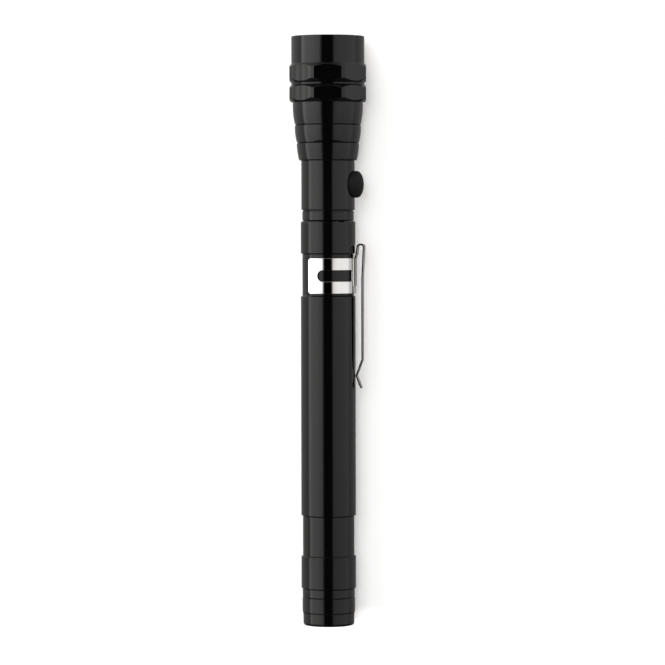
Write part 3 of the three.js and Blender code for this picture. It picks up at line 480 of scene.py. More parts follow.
# %% Telescope
TUBE_COUNT = 5
THIN_TUBE = 1.9
TUBE_STEP = 0.6
WALL = 0.3
SLIDE_GAP = 0.08
TAPER = 0.15
TUBE_LOW = 12.5
DRAWN_TOP = 13.5
DRAWN_ROUND = 0.5
TUBE_TOP = 119.0
SHORT_TUBE_TOP = 48.2
GROOVE = 0.12
GROOVE_LOW = 112.94
GROOVE_TOP = 118.06
FOOT_WIDTH = 1.1
FOOT_LOW = 4.6
FOOT_TOP = 5.6
TUBE_BODIES = {2: "section_2", 3: "section_3", 4: "section_4", 5: "rod"}


def tube_radius(number):
    return THIN_TUBE + (TUBE_COUNT - number) * TUBE_STEP


def drawn_end(number):
    outer = tube_radius(number)
    throat = tube_radius(number + 1) + SLIDE_GAP
    start = [(throat, TUBE_LOW, HAIR), (outer - TAPER, TUBE_LOW, BREAK)]
    start.append((outer, DRAWN_TOP, DRAWN_ROUND))
    return start, [(outer - WALL, DRAWN_TOP, BREAK), (throat, DRAWN_TOP - TAPER, HAIR)]


def foot_end():
    outer = tube_radius(TUBE_COUNT)
    foot = outer + FOOT_WIDTH
    start = [(outer - WALL, FOOT_LOW, FINE), (foot, FOOT_LOW, BREAK)]
    return start + [(foot, FOOT_TOP, BREAK), (outer, FOOT_TOP, BREAK)], []


def plated_piece(number, body, ends, rim):
    start, end = ends
    outline = start + rim + end
    turned_piece("tube_%d" % number, plated_tube, body, "plated_tube", outline, sides=COARSE_SIDES)


widest = tube_radius(1)
plated_piece(1, "head", drawn_end(1), [
    (widest, SHORT_TUBE_TOP, FINE),
    (widest - WALL, SHORT_TUBE_TOP, FINE),
])
for number, body in TUBE_BODIES.items():
    outer = tube_radius(number)
    ends = foot_end() if number == TUBE_COUNT else drawn_end(number)
    plated_piece(number, body, ends, [
        (outer, GROOVE_LOW, CREASE),
        (outer - GROOVE, GROOVE_LOW, CREASE),
        (outer - GROOVE, GROOVE_TOP, CREASE),
        (outer, GROOVE_TOP, CREASE),
        (outer, TUBE_TOP, BREAK),
        (outer - WALL, TUBE_TOP, FINE),
    ])

# %% [markdown]
# ## Tools for node trees
#
# What follows a rule is made by Geometry Nodes: the milled flats on the head, the winding of the
# flexible neck, the ring of LEDs and the bent band of the clip. Each tree has named inputs for its
# sizes, ends in Realize Instances and Set Material, and is run once to give a plain mesh.

# %% Tools for node trees
def new_tree(name, floats, whole=()):
    tree = bpy.data.node_groups.new(name, "GeometryNodeTree")
    kinds = {"Geometry": "NodeSocketGeometry", "Finish": "NodeSocketMaterial"}
    kinds.update(dict.fromkeys(floats, "NodeSocketFloat"))
    kinds.update(dict.fromkeys(whole, "NodeSocketInt"))
    for label, kind in kinds.items():
        tree.interface.new_socket(label, in_out="INPUT", socket_type=kind)
    tree.interface.new_socket("Geometry", in_out="OUTPUT", socket_type="NodeSocketGeometry")
    return tree, tree.nodes.new("NodeGroupInput").outputs


def end_tree(tree, given, geometry):
    solid = add_node(tree, "GeometryNodeRealizeInstances", Geometry=geometry).outputs["Geometry"]
    paint = add_node(tree, "GeometryNodeSetMaterial", Geometry=solid, Material=given["Finish"])
    add_node(tree, "NodeGroupOutput", Geometry=paint.outputs["Geometry"])


def calc(operation, *terms):
    sockets = [term for term in terms if isinstance(term, bpy.types.NodeSocket)]
    node = sockets[0].id_data.nodes.new("ShaderNodeMath")
    node.operation = operation
    for socket, term in zip(node.inputs, terms):
        set_input(socket, term)
    return node.outputs["Value"]


def length(x, y):
    squares = calc("MULTIPLY", x, x), calc("MULTIPLY", y, y)
    return calc("SQRT", calc("ADD", *squares))


def split_place(place):
    return add_node(place.id_data, "ShaderNodeSeparateXYZ", Vector=place).outputs


def where(tree):
    return split_place(add_node(tree, "GeometryNodeInputPosition").outputs["Position"])


def move_points(tree, given, x, y, z, chosen=True):
    place = add_node(tree, "ShaderNodeCombineXYZ", X=x, Y=y, Z=z).outputs["Vector"]
    move = add_node(
        tree, "GeometryNodeSetPosition",
        Geometry=given["Geometry"], Position=place, Selection=chosen)
    end_tree(tree, given, move.outputs["Geometry"])


def run_tree(workpiece, tree, values):
    modifier = workpiece.modifiers.new(tree.name, "NODES")
    modifier.node_group = tree
    for item in tree.interface.items_tree:
        if item.in_out == "INPUT" and item.name in values:
            modifier[item.identifier] = values[item.name]


# %% [markdown]
# ## Flexible neck
#
# Under the head sits a neck of wound steel wire, which hides in the handle while the flashlight is
# closed. Modelling the wire turn by turn would need hundreds of copies. Instead a smooth tube is
# raised into a winding: each point's radius follows its height and its angle, so the ribs climb like
# a screw.

# %% Flexible neck
NECK_LOW = 54.4
NECK_HIGH = 104.4
NECK_BORE = 4.5
NECK_END = 5.25
CRIMP = 5.0
VALLEY = 4.9
RIB = 0.35
RIB_COUNT = 27
ROWS_PER_RIB = 15
NECK_SIDES = 96
END_STEP = 0.02
SKIN = 0.1

winding, given = new_tree("winding", ["Valley", "Rib Height", "Pitch", "Bottom", "Top"])
x, y, z = where(winding)
radius = length(x, y)
turns = calc("DIVIDE", calc("ARCTAN2", y, x), 2 * math.pi)
height = calc("SUBTRACT", z, given["Bottom"])
climb = calc("DIVIDE", height, given["Pitch"])
rib = calc("FRACT", calc("SUBTRACT", climb, turns))
middle = calc("SUBTRACT", calc("MULTIPLY", rib, 2.0), 1.0)
fall = calc("MULTIPLY", middle, middle)
bow = calc("SQRT", calc("SUBTRACT", 1.0, fall))
lift = calc("MULTIPLY", bow, given["Rib Height"])
raised = calc("ADD", given["Valley"], lift)
grow = calc("DIVIDE", raised, radius)
skin = calc("SUBTRACT", given["Valley"], SKIN)
outside = calc("GREATER_THAN", radius, skin)
above = calc("GREATER_THAN", z, given["Bottom"])
below = calc("LESS_THAN", z, given["Top"])
chosen = calc("MULTIPLY", outside, calc("MULTIPLY", above, below))
wound_x, wound_y = calc("MULTIPLY", x, grow), calc("MULTIPLY", y, grow)
move_points(winding, given, wound_x, wound_y, z, chosen)

neck_length = NECK_HIGH - NECK_LOW
row_count = RIB_COUNT * ROWS_PER_RIB
neck_path = [
    (NECK_BORE, NECK_LOW - CRIMP),
    (NECK_END, NECK_LOW - CRIMP),
    (NECK_END, NECK_LOW - END_STEP),
    *[(VALLEY, NECK_LOW + neck_length * k / row_count) for k in range(row_count + 1)],
    (NECK_END, NECK_HIGH + END_STEP),
    (NECK_END, NECK_HIGH + CRIMP),
    (NECK_BORE, NECK_HIGH + CRIMP),
]
coil_work = new_object("wound_neck", turned_mesh("flexible_neck", neck_path, sides=NECK_SIDES))
run_tree(coil_work, winding, {
    "Valley": VALLEY,
    "Rib Height": RIB,
    "Pitch": neck_length / RIB_COUNT,
    "Bottom": NECK_LOW,
    "Top": NECK_HIGH,
    "Finish": neck_steel,
})
settle(coil_work, neck_steel, "head", ["flexible_neck"], "bright_steel")

# %% [markdown]
# The neck is crimped into a brass ferrule at each end. The upper one is fixed in the plug under the
# lamp head, and the lower one carries the widest tube.

# %% Ferrules, plug and retaining ring
FERRULE = 5.65
FERRULE_CUP = NECK_END + CLEAR
FERRULE_STEM = 4.85
FERRULE_ROUND = 0.3
COLLAR_TOP = 110.5
STEM_TOP = 115.0
LOWER_FOOT = 43.3
TUBE_SOCKET = widest + CLEAR
TUBE_LEDGE = widest - WALL + CLEAR

turned_piece("upper_ferrule", brass, "head", "brass", [
    (FERRULE_CUP, NECK_HIGH, FINE),
    (FERRULE, NECK_HIGH, SOFT),
    (FERRULE, COLLAR_TOP, SOFT),
    (FERRULE_STEM, COLLAR_TOP, 0),
    (FERRULE_STEM, STEM_TOP, BREAK),
    (NECK_BORE, STEM_TOP, FINE),
    (NECK_BORE, NECK_HIGH + CRIMP + CLEAR, 0),
    (FERRULE_CUP, NECK_HIGH + CRIMP + CLEAR, 0),
], sides=COARSE_SIDES)
turned_piece("lower_ferrule", brass, "head", "brass", [
    (TUBE_SOCKET, LOWER_FOOT, BREAK),
    (FERRULE, LOWER_FOOT, FERRULE_ROUND),
    (FERRULE, NECK_LOW, SOFT),
    (FERRULE_CUP, NECK_LOW, FINE),
    (FERRULE_CUP, NECK_LOW - CRIMP - CLEAR, 0),
    (TUBE_LEDGE, NECK_LOW - CRIMP - CLEAR, 0),
    (TUBE_LEDGE, SHORT_TUBE_TOP + CLEAR, 0),
    (TUBE_SOCKET, SHORT_TUBE_TOP + CLEAR, 0),
], sides=COARSE_SIDES)

RING_FLOOR = 5.25
RING_LOW = 113.8
RING_TOP = 114.4
PLUG_SPIGOT = 6.2
PLUG_FLOOR = 119.4
PLUG_TOP = 119.9
PLUG_END = 121.4

turned_piece("neck_plug", black_coat, "head", "black_coat", [
    (FERRULE_STEM + CLEAR, COLLAR_TOP + CLEAR, 0),
    (FERRULE, COLLAR_TOP + CLEAR, ROUND),
    (FERRULE, RING_LOW, HAIR),
    (RING_FLOOR, RING_LOW, 0),
    (RING_FLOOR, RING_TOP, 0),
    (FERRULE, RING_TOP, HAIR),
    (FERRULE, MOUTH + TOUCH, 0),
    (SEAT - BEVEL, MOUTH + TOUCH, CREASE),
    (SEAT, MOUTH + BEVEL, EDGE),
    (SEAT, PLUG_TOP - SHOULDER, EDGE),
    (SEAT - LINE, PLUG_TOP - SHOULDER + LINE, CREASE),
    (SEAT - LINE, PLUG_TOP, 0),
    (PLUG_SPIGOT, PLUG_TOP, 0),
    (PLUG_SPIGOT, PLUG_END, BREAK),
    (0, PLUG_END, 0),
    (0, PLUG_FLOOR, 0),
    (NECK_BORE, PLUG_FLOOR, 0),
    (NECK_BORE, STEM_TOP + CLEAR, 0),
    (FERRULE_STEM + CLEAR, STEM_TOP + CLEAR, 0),
])

RING_RADIUS = 5.5
RING_SIDES = 160
WIRE = 0.2
WIRE_STEPS = 16
ring_height = (RING_LOW + RING_TOP) / 2
wire = []
for k in range(WIRE_STEPS):
    angle = 2 * math.pi * k / WIRE_STEPS
    wire.append((RING_RADIUS + WIRE * math.cos(angle), ring_height + WIRE * math.sin(angle)))
ring_work = new_object("retaining_wire", turned_mesh("retaining_ring", wire, sides=RING_SIDES))
settle(ring_work, chrome, "head", ["retaining_ring"], "bright_steel")

# %% [markdown]
# ## Neck and button
#
# The neck is a plain tube with a round hole in its side. The hole is cut with a Boolean, because its
# rim is a curve that no outline gives. The button is turned about its own axis, with a low dome, and
# then set in the hole, a little to the front of the clip's side.

# %% Neck
BUTTON_HEIGHT = 127.35
BUTTON_TURN = math.radians(-10.5)
BUTTON_HOLE = 4.0
DRILL_LENGTH = 12
HOLE_SIDES = 160
NECK = 7.735
NECK_CHAMFER = 0.18
NECK_EDGE = 120.15
HEAD_LOW = 134.2
HEAD_THREAD = 7.05
SEAL_FLOOR = 6.4
SEAL_LOW = 138.9
SEAL_TOP = 139.7
NECK_TOP = 141.1


def combine(workpiece, tool, operation):
    boolean = workpiece.modifiers.new("combine", "BOOLEAN")
    boolean.object = tool
    boolean.operation = operation
    boolean.solver = "EXACT"


button_place = (
    Matrix.Translation((0, 0, BUTTON_HEIGHT))
    @ Matrix.Rotation(BUTTON_TURN, 4, "Z")
    @ Matrix.Rotation(math.pi / 2, 4, "Y")
)
neck_corners = [
    (BORE, PLUG_TOP + TOUCH, 0),
    (NECK - NECK_CHAMFER, PLUG_TOP + TOUCH, CREASE),
    (NECK, NECK_EDGE, EDGE),
    (NECK, HEAD_LOW - TOUCH, EDGE),
    (HEAD_THREAD, HEAD_LOW - TOUCH, 0),
    (HEAD_THREAD, SEAL_LOW, 0),
    (SEAL_FLOOR, SEAL_LOW, 0),
    (SEAL_FLOOR, SEAL_TOP, 0),
    (HEAD_THREAD, SEAL_TOP, 0),
    (HEAD_THREAD, NECK_TOP, BREAK),
    (BORE, NECK_TOP, 0),
]
neck_work = new_object("bored_neck_tube", turned_mesh("neck_tube", rounded(neck_corners)))
drill_path = [(0, 0), (BUTTON_HOLE, 0), (BUTTON_HOLE, DRILL_LENGTH), (0, DRILL_LENGTH)]
drill_mesh = turned_mesh("drill", drill_path, closed=False, sides=HOLE_SIDES)
drill_mesh.transform(button_place)
drill = new_object("drill", drill_mesh)
combine(neck_work, drill, "DIFFERENCE")
settle(neck_work, black_coat, "head", ["neck_tube"], "black_coat")
bpy.data.objects.remove(drill)

# %% Button
BUTTON_RADIUS = 3.85
FLANGE = 4.35
FLANGE_LOW = 3.52
FLANGE_TOP = 4.32
DOME_STEPS = 14
DOME_FOOT = 8.535
DOME_RISE = 1.85


def dome(radius, foot, rise):
    angles = [math.pi / 2 * k / DOME_STEPS for k in range(DOME_STEPS + 1)]
    return [(radius * math.cos(angle), foot + rise * math.sin(angle)) for angle in angles]


turned_piece("switch_button", black_rubber, "button", "black_rubber", [
    (0, FLANGE_LOW, 0),
    (FLANGE, FLANGE_LOW, BREAK),
    (FLANGE, FLANGE_TOP, BREAK),
    (BUTTON_RADIUS, FLANGE_TOP, FINE),
    *[(radius, height, 0) for radius, height in dome(BUTTON_RADIUS, DOME_FOOT, DOME_RISE)],
], closed=False, place=button_place)

# %% [markdown]
# ## Lamp head
#
# The head is a bell of three tiers, two grip rings and a plain lip. Each tier curves in towards its
# lower edge, faster and faster, so its radius follows a power of the height, and its lower edge is
# bevelled, which gives the dark line over the tier below. The grip rings are turned round first and
# then milled to eight flats. The mill is a node tree: it pulls every point in to the flat that it
# would stick out of, and that leaves the scalloped rims that the photograph shows. A ripple of a few
# thousandths of a millimetre, as a mill leaves it, breaks the reflections in the flats into streaks.

# %% Lamp head
LIP = 10.55
LIP_ROUND = 0.25
FLAT = 11.03
CORNER = 11.71
RINGS_LOW = 150.9
# Top, lower radius, upper radius and power of each tier
BELL_TIERS = [(139.2, 8.42, 9.02, 1.7), (144.4, 8.98, 9.57, 2.4), (RINGS_LOW, 9.53, 10.15, 2.6)]
BELL_STEPS = 18
BELL_BEVEL = 0.9 * BEVEL
TIER_GAP = 0.05
LOW_RING_TOP = 156.05
HIGH_RING_LOW = 156.45
RINGS_TOP = 162.1
HEAD_TOP = 170.0
LAMP_BORE = 9.5
LAMP_SEAT = 159.3
CELL_BORE = 8.0
SOCKET_TOP = 141.5
ROW_STEP = 0.12
HEAD_SIDES = 352


def bell_tier(low, high, low_radius, high_radius, power):
    path = [(low_radius - BEVEL, low, CREASE)]
    foot = low + BELL_BEVEL
    for k in range(BELL_STEPS + 1):
        t = k / BELL_STEPS
        radius = high_radius - (high_radius - low_radius) * (1 - t) ** power
        path.append((radius, foot + (high - foot) * t, 0 if 0 < k < BELL_STEPS else EDGE))
    return path


def grip_ring(low, high):
    slope = CORNER - LIP
    return [
        (LIP, low, CREASE),
        (CORNER, low + slope, EDGE),
        (CORNER, high - slope, EDGE),
        (LIP, high, CREASE),
    ]


def fine_rows(path):
    dense = [path[0]]
    for (r0, z0), (r1, z1) in zip(path, path[1:]):
        count = 1
        if max(r0, r1) > LIP + CLEAR and abs(r1 - r0) > STRAIGHT:
            count = math.ceil(math.hypot(r1 - r0, z1 - z0) / ROW_STEP)
        for k in range(1, count + 1):
            dense.append((r0 + (r1 - r0) * k / count, z0 + (z1 - z0) * k / count))
    return dense


bell = []
low = HEAD_LOW
for high, low_radius, high_radius, power in BELL_TIERS:
    bell += bell_tier(low, high - TIER_GAP, low_radius, high_radius, power)
    low = high
head_corners = [
    (HEAD_THREAD + CLEAR, HEAD_LOW, 0),
    *bell,
    (high_radius, RINGS_LOW, 0),
    *grip_ring(RINGS_LOW, LOW_RING_TOP),
    *grip_ring(HIGH_RING_LOW, RINGS_TOP),
    (LIP, HEAD_TOP, LIP_ROUND),
    (LAMP_BORE, HEAD_TOP, SOFT),
    (LAMP_BORE, LAMP_SEAT, 0),
    (CELL_BORE, LAMP_SEAT, 0),
    (CELL_BORE, SOCKET_TOP, 0),
    (HEAD_THREAD + CLEAR, SOCKET_TOP, 0),
]

mill, given = new_tree("milled_flats", [
    "Flats", "Flat Distance", "Ripple Height", "Ripple Pitch", "Edge Softness",
])
x, y, z = where(mill)
radius = length(x, y)
sector = calc("DIVIDE", 2 * math.pi, given["Flats"])
angle = calc("ARCTAN2", y, x)
nearest = calc("MULTIPLY", calc("ROUND", calc("DIVIDE", angle, sector)), sector)
aside = calc("SUBTRACT", angle, nearest)
across = calc("MULTIPLY", given["Flat Distance"], calc("TANGENT", aside))
wave = calc("MULTIPLY", across, 2 * math.pi)
wave = calc("DIVIDE", wave, given["Ripple Pitch"])
trough = calc("SUBTRACT", calc("SINE", wave), 1.0)
dip = calc("MULTIPLY", trough, given["Ripple Height"])
flat = calc("ADD", given["Flat Distance"], dip)
limit = calc("DIVIDE", flat, calc("COSINE", aside))
milled_radius = calc("SMOOTH_MIN", radius, limit, given["Edge Softness"])
shrink = calc("DIVIDE", milled_radius, radius)
milled_x, milled_y = calc("MULTIPLY", x, shrink), calc("MULTIPLY", y, shrink)
move_points(mill, given, milled_x, milled_y, z)

head_mesh = turned_mesh("head_shell", fine_rows(rounded(head_corners)), sides=HEAD_SIDES)
head_work = new_object("milled_head_shell", head_mesh)
run_tree(head_work, mill, {
    "Flats": 8.0,
    "Flat Distance": FLAT,
    "Ripple Height": 0.0055,
    "Ripple Pitch": 2.45,
    "Edge Softness": 0.06,
    "Finish": black_coat,
})
settle(head_work, black_coat, "head", ["head_shell"], "black_coat")

# %% [markdown]
# ## Lamp
#
# Inside the lip three LEDs stand round a disc magnet, in a black front plate. The plate is a flat
# curve with holes, because Blender fills such a curve and rounds its edges by itself. The LEDs are
# one clear lens, one silver cup and one dot of phosphor, each set three times round the axis by a
# small tree.

# %% Front plate and magnet
LED_COUNT = 3
LED_CIRCLE = 6.2
FIRST_LED = math.radians(90)
LED_HOLE = 2.6
MAGNET_HOLE = 3.1
PLATE = 9.4
PLATE_SIDES = 160
PLATE_HEIGHT = 167.3
PLATE_HALF = 0.9


def add_circle(curve, radius, centre=(0, 0), points=96):
    spline = curve.splines.new("POLY")
    spline.points.add(points - 1)
    for k, point in enumerate(spline.points):
        angle = 2 * math.pi * k / points
        x, y = centre[0] + radius * math.cos(angle), centre[1] + radius * math.sin(angle)
        point.co = (x, y, 0, 1)
    spline.use_cyclic_u = True


plate = bpy.data.curves.new("front_plate_outline", "CURVE")
plate.dimensions = "2D"
plate.fill_mode = "BOTH"
plate.extrude = PLATE_HALF - BREAK
plate.bevel_depth = BREAK
plate.bevel_resolution = 2
plate.offset = -BREAK
add_circle(plate, PLATE, points=PLATE_SIDES)
add_circle(plate, MAGNET_HOLE)
for k in range(LED_COUNT):
    angle = FIRST_LED + 2 * math.pi * k / LED_COUNT
    add_circle(plate, LED_HOLE, (LED_CIRCLE * math.cos(angle), LED_CIRCLE * math.sin(angle)))
plate_work = new_object("cut_front_plate", plate)
plate_place = Matrix.Translation((0, 0, PLATE_HEIGHT))
settle(plate_work, black_plastic, "head", ["front_plate"], "black_plastic", plate_place)

magnet_disc("head_magnet", "head", radius=3.0, low=164.1, high=169.7, high_round=0.25)

# %% LEDs
round_axis, given = new_tree("round_the_axis", ["Circle", "First Angle"], whole=["Count"])
ring = add_node(
    round_axis, "GeometryNodeMeshCircle", Vertices=given["Count"], Radius=given["Circle"])
first = add_node(round_axis, "ShaderNodeCombineXYZ", Z=given["First Angle"])
aim_ring = add_node(
    round_axis, "GeometryNodeTransform",
    Geometry=ring.outputs["Mesh"], Rotation=first.outputs["Vector"])
copies = add_node(
    round_axis, "GeometryNodeInstanceOnPoints",
    Points=aim_ring.outputs["Geometry"], Instance=given["Geometry"])
end_tree(round_axis, given, copies.outputs["Instances"])


def led_ring(name, path, finish, nodes, sides):
    workpiece = new_object(name, turned_mesh(name, path, closed=False, sides=sides))
    run_tree(workpiece, round_axis, {
        "Count": LED_COUNT,
        "Circle": LED_CIRCLE,
        "First Angle": FIRST_LED,
        "Finish": finish,
    })
    settle(workpiece, finish, "head", nodes, "led_lens")


LENS = 2.5
LENS_TOP = 169.3
LENS_FLANGE = 2.9
LENS_LOW = 160.7
LENS_STEP = 161.7
lens_path = rounded([
    (0, LENS_LOW, 0),
    (LENS_FLANGE, LENS_LOW, BREAK),
    (LENS_FLANGE, LENS_STEP, BREAK),
    (LENS, LENS_STEP, FINE),
    (LENS, LENS_TOP - LENS, 0),
], closed=False)
lens_path += dome(LENS, LENS_TOP - LENS, LENS)[1:]
led_ring("led_lenses", lens_path, led_glass, ["led_1", "led_2", "led_3"], sides=64)
cup_path = [(0, 165.2), (0.5, 165.2), (1.0, 165.8), (1.15, 165.8), (1.15, 162.4), (0, 162.4)]
led_ring("led_cups", cup_path, led_cup, [], sides=48)
dot_path = [(0, 165.5), (0.6, 165.42), (0.6, 165.36), (0, 165.3)]
led_ring("led_dots", dot_path, phosphor, [], sides=32)

# %% [markdown]
# ## Pocket clip
#
# The clip is stamped from sheet: a band with a long slot each side, bent round the upper waist, and
# an arm that loops over and runs down outside the handle. The band is drawn flat, as the press tool
# would cut it. Its outline is laid down in layers through the sheet's thickness, each inset a little
# more near the faces, which rounds every edge. A tree then bends it, turning length into angle. The
# arm is a strip swept along its side view, growing narrower towards the tip.

# %% Clip band
CLIP_TURN = -5
CLIP_EDGE = 0.09
EDGE_STEPS = 5
BAND_LOW = 95.95
BAND_HIGH = 106.1
BAND_MIDDLE = (BAND_LOW + BAND_HIGH) / 2
BAND_RADIUS = 7.8
BAND_THICKNESS = 0.5
BAND_CORNER = 0.9
SLOT_HALF = 1.63
SLOT_CORNER = 0.35
MERGE = 0.0005


def band_length(degrees):
    return math.radians(degrees) * BAND_RADIUS


BAND_END = band_length(130.5)
SLOT_FAR = band_length(107.7)
SLOT_NEAR = band_length(26)
WEB_STEPS = 12
CORNER_STEPS = 8
SLOT_STEPS = 40
ROUND_STEPS = 16
TONGUE_STEPS = 10
END_STEPS = 12
NEAR_COLUMN = WEB_STEPS
FAR_COLUMN = WEB_STEPS + CORNER_STEPS + SLOT_STEPS + ROUND_STEPS


def evenly(t):
    return t


def ease_in(t):
    return 1 - math.cos(math.pi / 2 * t)


def ease_out(t):
    return math.sin(math.pi / 2 * t)


def spread(start, stop, count, pace=evenly):
    return [start + (stop - start) * pace(k / count) for k in range(1, count + 1)]


def corner_drop(distance, radius):
    if distance >= radius:
        return 0.0
    return radius - math.sqrt(max(0.0, radius ** 2 - (radius - distance) ** 2))


def sheet_columns(inset):
    near, far, end = SLOT_NEAR - inset, SLOT_FAR + inset, BAND_END - inset
    half, corner, end_corner = SLOT_HALF + inset, SLOT_CORNER + inset, BAND_CORNER - inset
    places = [0.0]
    places += spread(0, near, WEB_STEPS)
    places += spread(near, near + corner, CORNER_STEPS, ease_in)
    places += spread(near + corner, far - half, SLOT_STEPS)
    places += spread(far - half, far, ROUND_STEPS, ease_out)
    places += spread(far, end - end_corner, TONGUE_STEPS)
    places += spread(end - end_corner, end, END_STEPS, ease_out)
    columns = []
    for k, s in enumerate(places):
        if k <= NEAR_COLUMN:
            gap = half - corner
        elif k < FAR_COLUMN:
            gap = half - max(corner_drop(s - near, corner), corner_drop(far - s, half))
        else:
            gap = min(half - corner, max(0.0, s - far))
        drop = inset + corner_drop(end - s, end_corner)
        heights = (BAND_LOW + drop, BAND_MIDDLE - gap, BAND_MIDDLE + gap, BAND_HIGH - drop)
        columns.append((s, heights))
    return [(-s, heights) for s, heights in reversed(columns[1:])] + columns


def sheet_layers():
    face = BAND_THICKNESS / 2
    layers = [(CLIP_EDGE + GUARD, face)]
    for k in range(EDGE_STEPS + 1):
        t = k / EDGE_STEPS
        layers.append((CLIP_EDGE * (1 - ease_out(t)), face - CLIP_EDGE * ease_in(t)))
    return layers + [(inset, -out) for inset, out in reversed(layers)]


sheet = bmesh.new()
layers = []
for inset, out in sheet_layers():
    layer = []
    for s, heights in sheet_columns(inset):
        layer.append([sheet.verts.new((s, out, height)) for height in heights])
    layers.append(layer)
last = len(layers[0]) - 1
centre = last // 2
for j in range(last):
    place = min(abs(j - centre), abs(j + 1 - centre))
    in_slot = NEAR_COLUMN <= place < FAR_COLUMN
    for layer in (layers[0], layers[-1]):
        left, right = layer[j], layer[j + 1]
        for row in (0, 2) if in_slot else (0, 1, 2):
            sheet.faces.new((left[row], right[row], right[row + 1], left[row + 1]))
    for upper, lower in zip(layers, layers[1:]):
        for row in (0, 1, 2, 3) if in_slot else (0, 3):
            sheet.faces.new((upper[j][row], upper[j + 1][row], lower[j + 1][row], lower[j][row]))
end_walls = {
    0: (0, 1, 2),
    last: (0, 1, 2),
    centre - NEAR_COLUMN: (1,),
    centre + NEAR_COLUMN: (1,),
}
for upper, lower in zip(layers, layers[1:]):
    for j, rows in end_walls.items():
        for row in rows:
            sheet.faces.new((upper[j][row], upper[j][row + 1], lower[j][row + 1], lower[j][row]))
bmesh.ops.remove_doubles(sheet, verts=sheet.verts, dist=MERGE)
open_edges = [edge for edge in sheet.edges if not edge.is_manifold]
print("band sheet: %d faces, %d open edges" % (len(sheet.faces), len(open_edges)))
band_work = new_object("bent_clip", closed_mesh("clip_band", sheet))

bend, given = new_tree("bent_round", ["Radius"])
x, y, z = where(bend)
angle = calc("DIVIDE", x, given["Radius"])
radius = calc("SUBTRACT", given["Radius"], y)
bent_x = calc("MULTIPLY", radius, calc("COSINE", angle))
bent_y = calc("MULTIPLY", radius, calc("SINE", angle))
move_points(bend, given, bent_x, bent_y, z)
run_tree(band_work, bend, {"Radius": BAND_RADIUS, "Finish": chrome})

# %% Clip arm
ARM_ROOT = 7.85
ARM_THICKNESS = 0.55
ARM_WIDTH = 4.6
ARM_STEP = 0.5
TIP_WIDTH = 3.4
TIP_END = 0.25
TIP_STEPS = 14
FOOT_LENGTH = 17
LOOK = 0.02

arm_line = rounded([
    (ARM_ROOT, 98.1, 0),
    (ARM_ROOT, 105.7, 1.2),
    (8.4, 107.5, 1.5),
    (8.67, 110.065, 0.84),
    (10.44, 110.065, 0.84),
    (9.96, 100.2, 6.0),
    (9.95, 76.9, 0.8),
    (8.23, 72.2, 0.7),
    (9.62, 68.6, 0),
], closed=False)


def dense_line(line, step):
    dense = [Vector(line[0])]
    for a, b in zip(line, line[1:]):
        a, b = Vector(a), Vector(b)
        count = max(1, math.ceil((b - a).length / step))
        dense += [a.lerp(b, k / count) for k in range(1, count + 1)]
    return dense


def strip_section(width, thickness, edge):
    guard = min(GUARD, (width / 2 - edge) / 2)
    section = []
    for side_x, side_y, start in ((1, 1, 0), (-1, 1, 90), (-1, -1, 180), (1, -1, 270)):
        middle = Vector((side_x * (width / 2 - edge), side_y * (thickness / 2 - edge)))
        arc = []
        for k in range(EDGE_STEPS + 1):
            angle = math.radians(start + 90 * k / EDGE_STEPS)
            arc.append(middle + edge * Vector((math.cos(angle), math.sin(angle))))
        before = (arc[0] - middle).orthogonal().normalized() * -guard
        after = (arc[-1] - middle).orthogonal().normalized() * guard
        section += [arc[0] + before, *arc, arc[-1] + after]
    return section


centre_line = dense_line(arm_line, ARM_STEP)
lengths = [0.0]
for a, b in zip(centre_line, centre_line[1:]):
    lengths.append(lengths[-1] + (b - a).length)
total = lengths[-1]
tip_round = TIP_WIDTH / 2
tip_start = total - tip_round
body_lengths = [distance for distance in lengths if distance < tip_start - TOUCH]
tip_lengths = [tip_start + tip_round * ease_out(k / TIP_STEPS) for k in range(TIP_STEPS + 1)]


def point_at(distance):
    for i in range(len(lengths) - 1):
        if distance <= lengths[i + 1]:
            span = lengths[i + 1] - lengths[i]
            return centre_line[i].lerp(centre_line[i + 1], (distance - lengths[i]) / span)
    return centre_line[-1]


arm = bmesh.new()
loops = []
for distance in body_lengths + tip_lengths:
    here = point_at(distance)
    ahead = point_at(min(total, distance + LOOK)) - point_at(max(0.0, distance - LOOK))
    normal = Vector((ahead.y, -ahead.x)).normalized()
    share = min(1.0, max(0.0, (distance - FOOT_LENGTH) / (total - FOOT_LENGTH)))
    width = ARM_WIDTH + (TIP_WIDTH - ARM_WIDTH) * share
    beyond = distance - tip_start
    if beyond > 0:
        width = max(TIP_END, 2 * math.sqrt(max(0.0, tip_round ** 2 - beyond ** 2)))
    edge = min(CLIP_EDGE, width / 3)
    loop = []
    for across, out in strip_section(width, ARM_THICKNESS, edge):
        loop.append(arm.verts.new((here.x + normal.x * out, across, here.y + normal.y * out)))
    loops.append(loop)
for low, high in zip(loops, loops[1:]):
    join_rings(arm, low, high)
arm.faces.new(loops[0])
arm.faces.new(loops[-1])
arm_work = new_object("clip_arm", closed_mesh("clip_arm", arm))

combine(band_work, arm_work, "UNION")
clip_place = Matrix.Rotation(math.radians(CLIP_TURN), 4, "Z")
settle(band_work, chrome, "clip", ["pocket_clip"], "bright_steel", clip_place)
bpy.data.objects.remove(arm_work)

# %% [markdown]
# ## Pieces that stay as the CAD made them
#
# What is sealed inside keeps its CAD solid and only gets a finish.

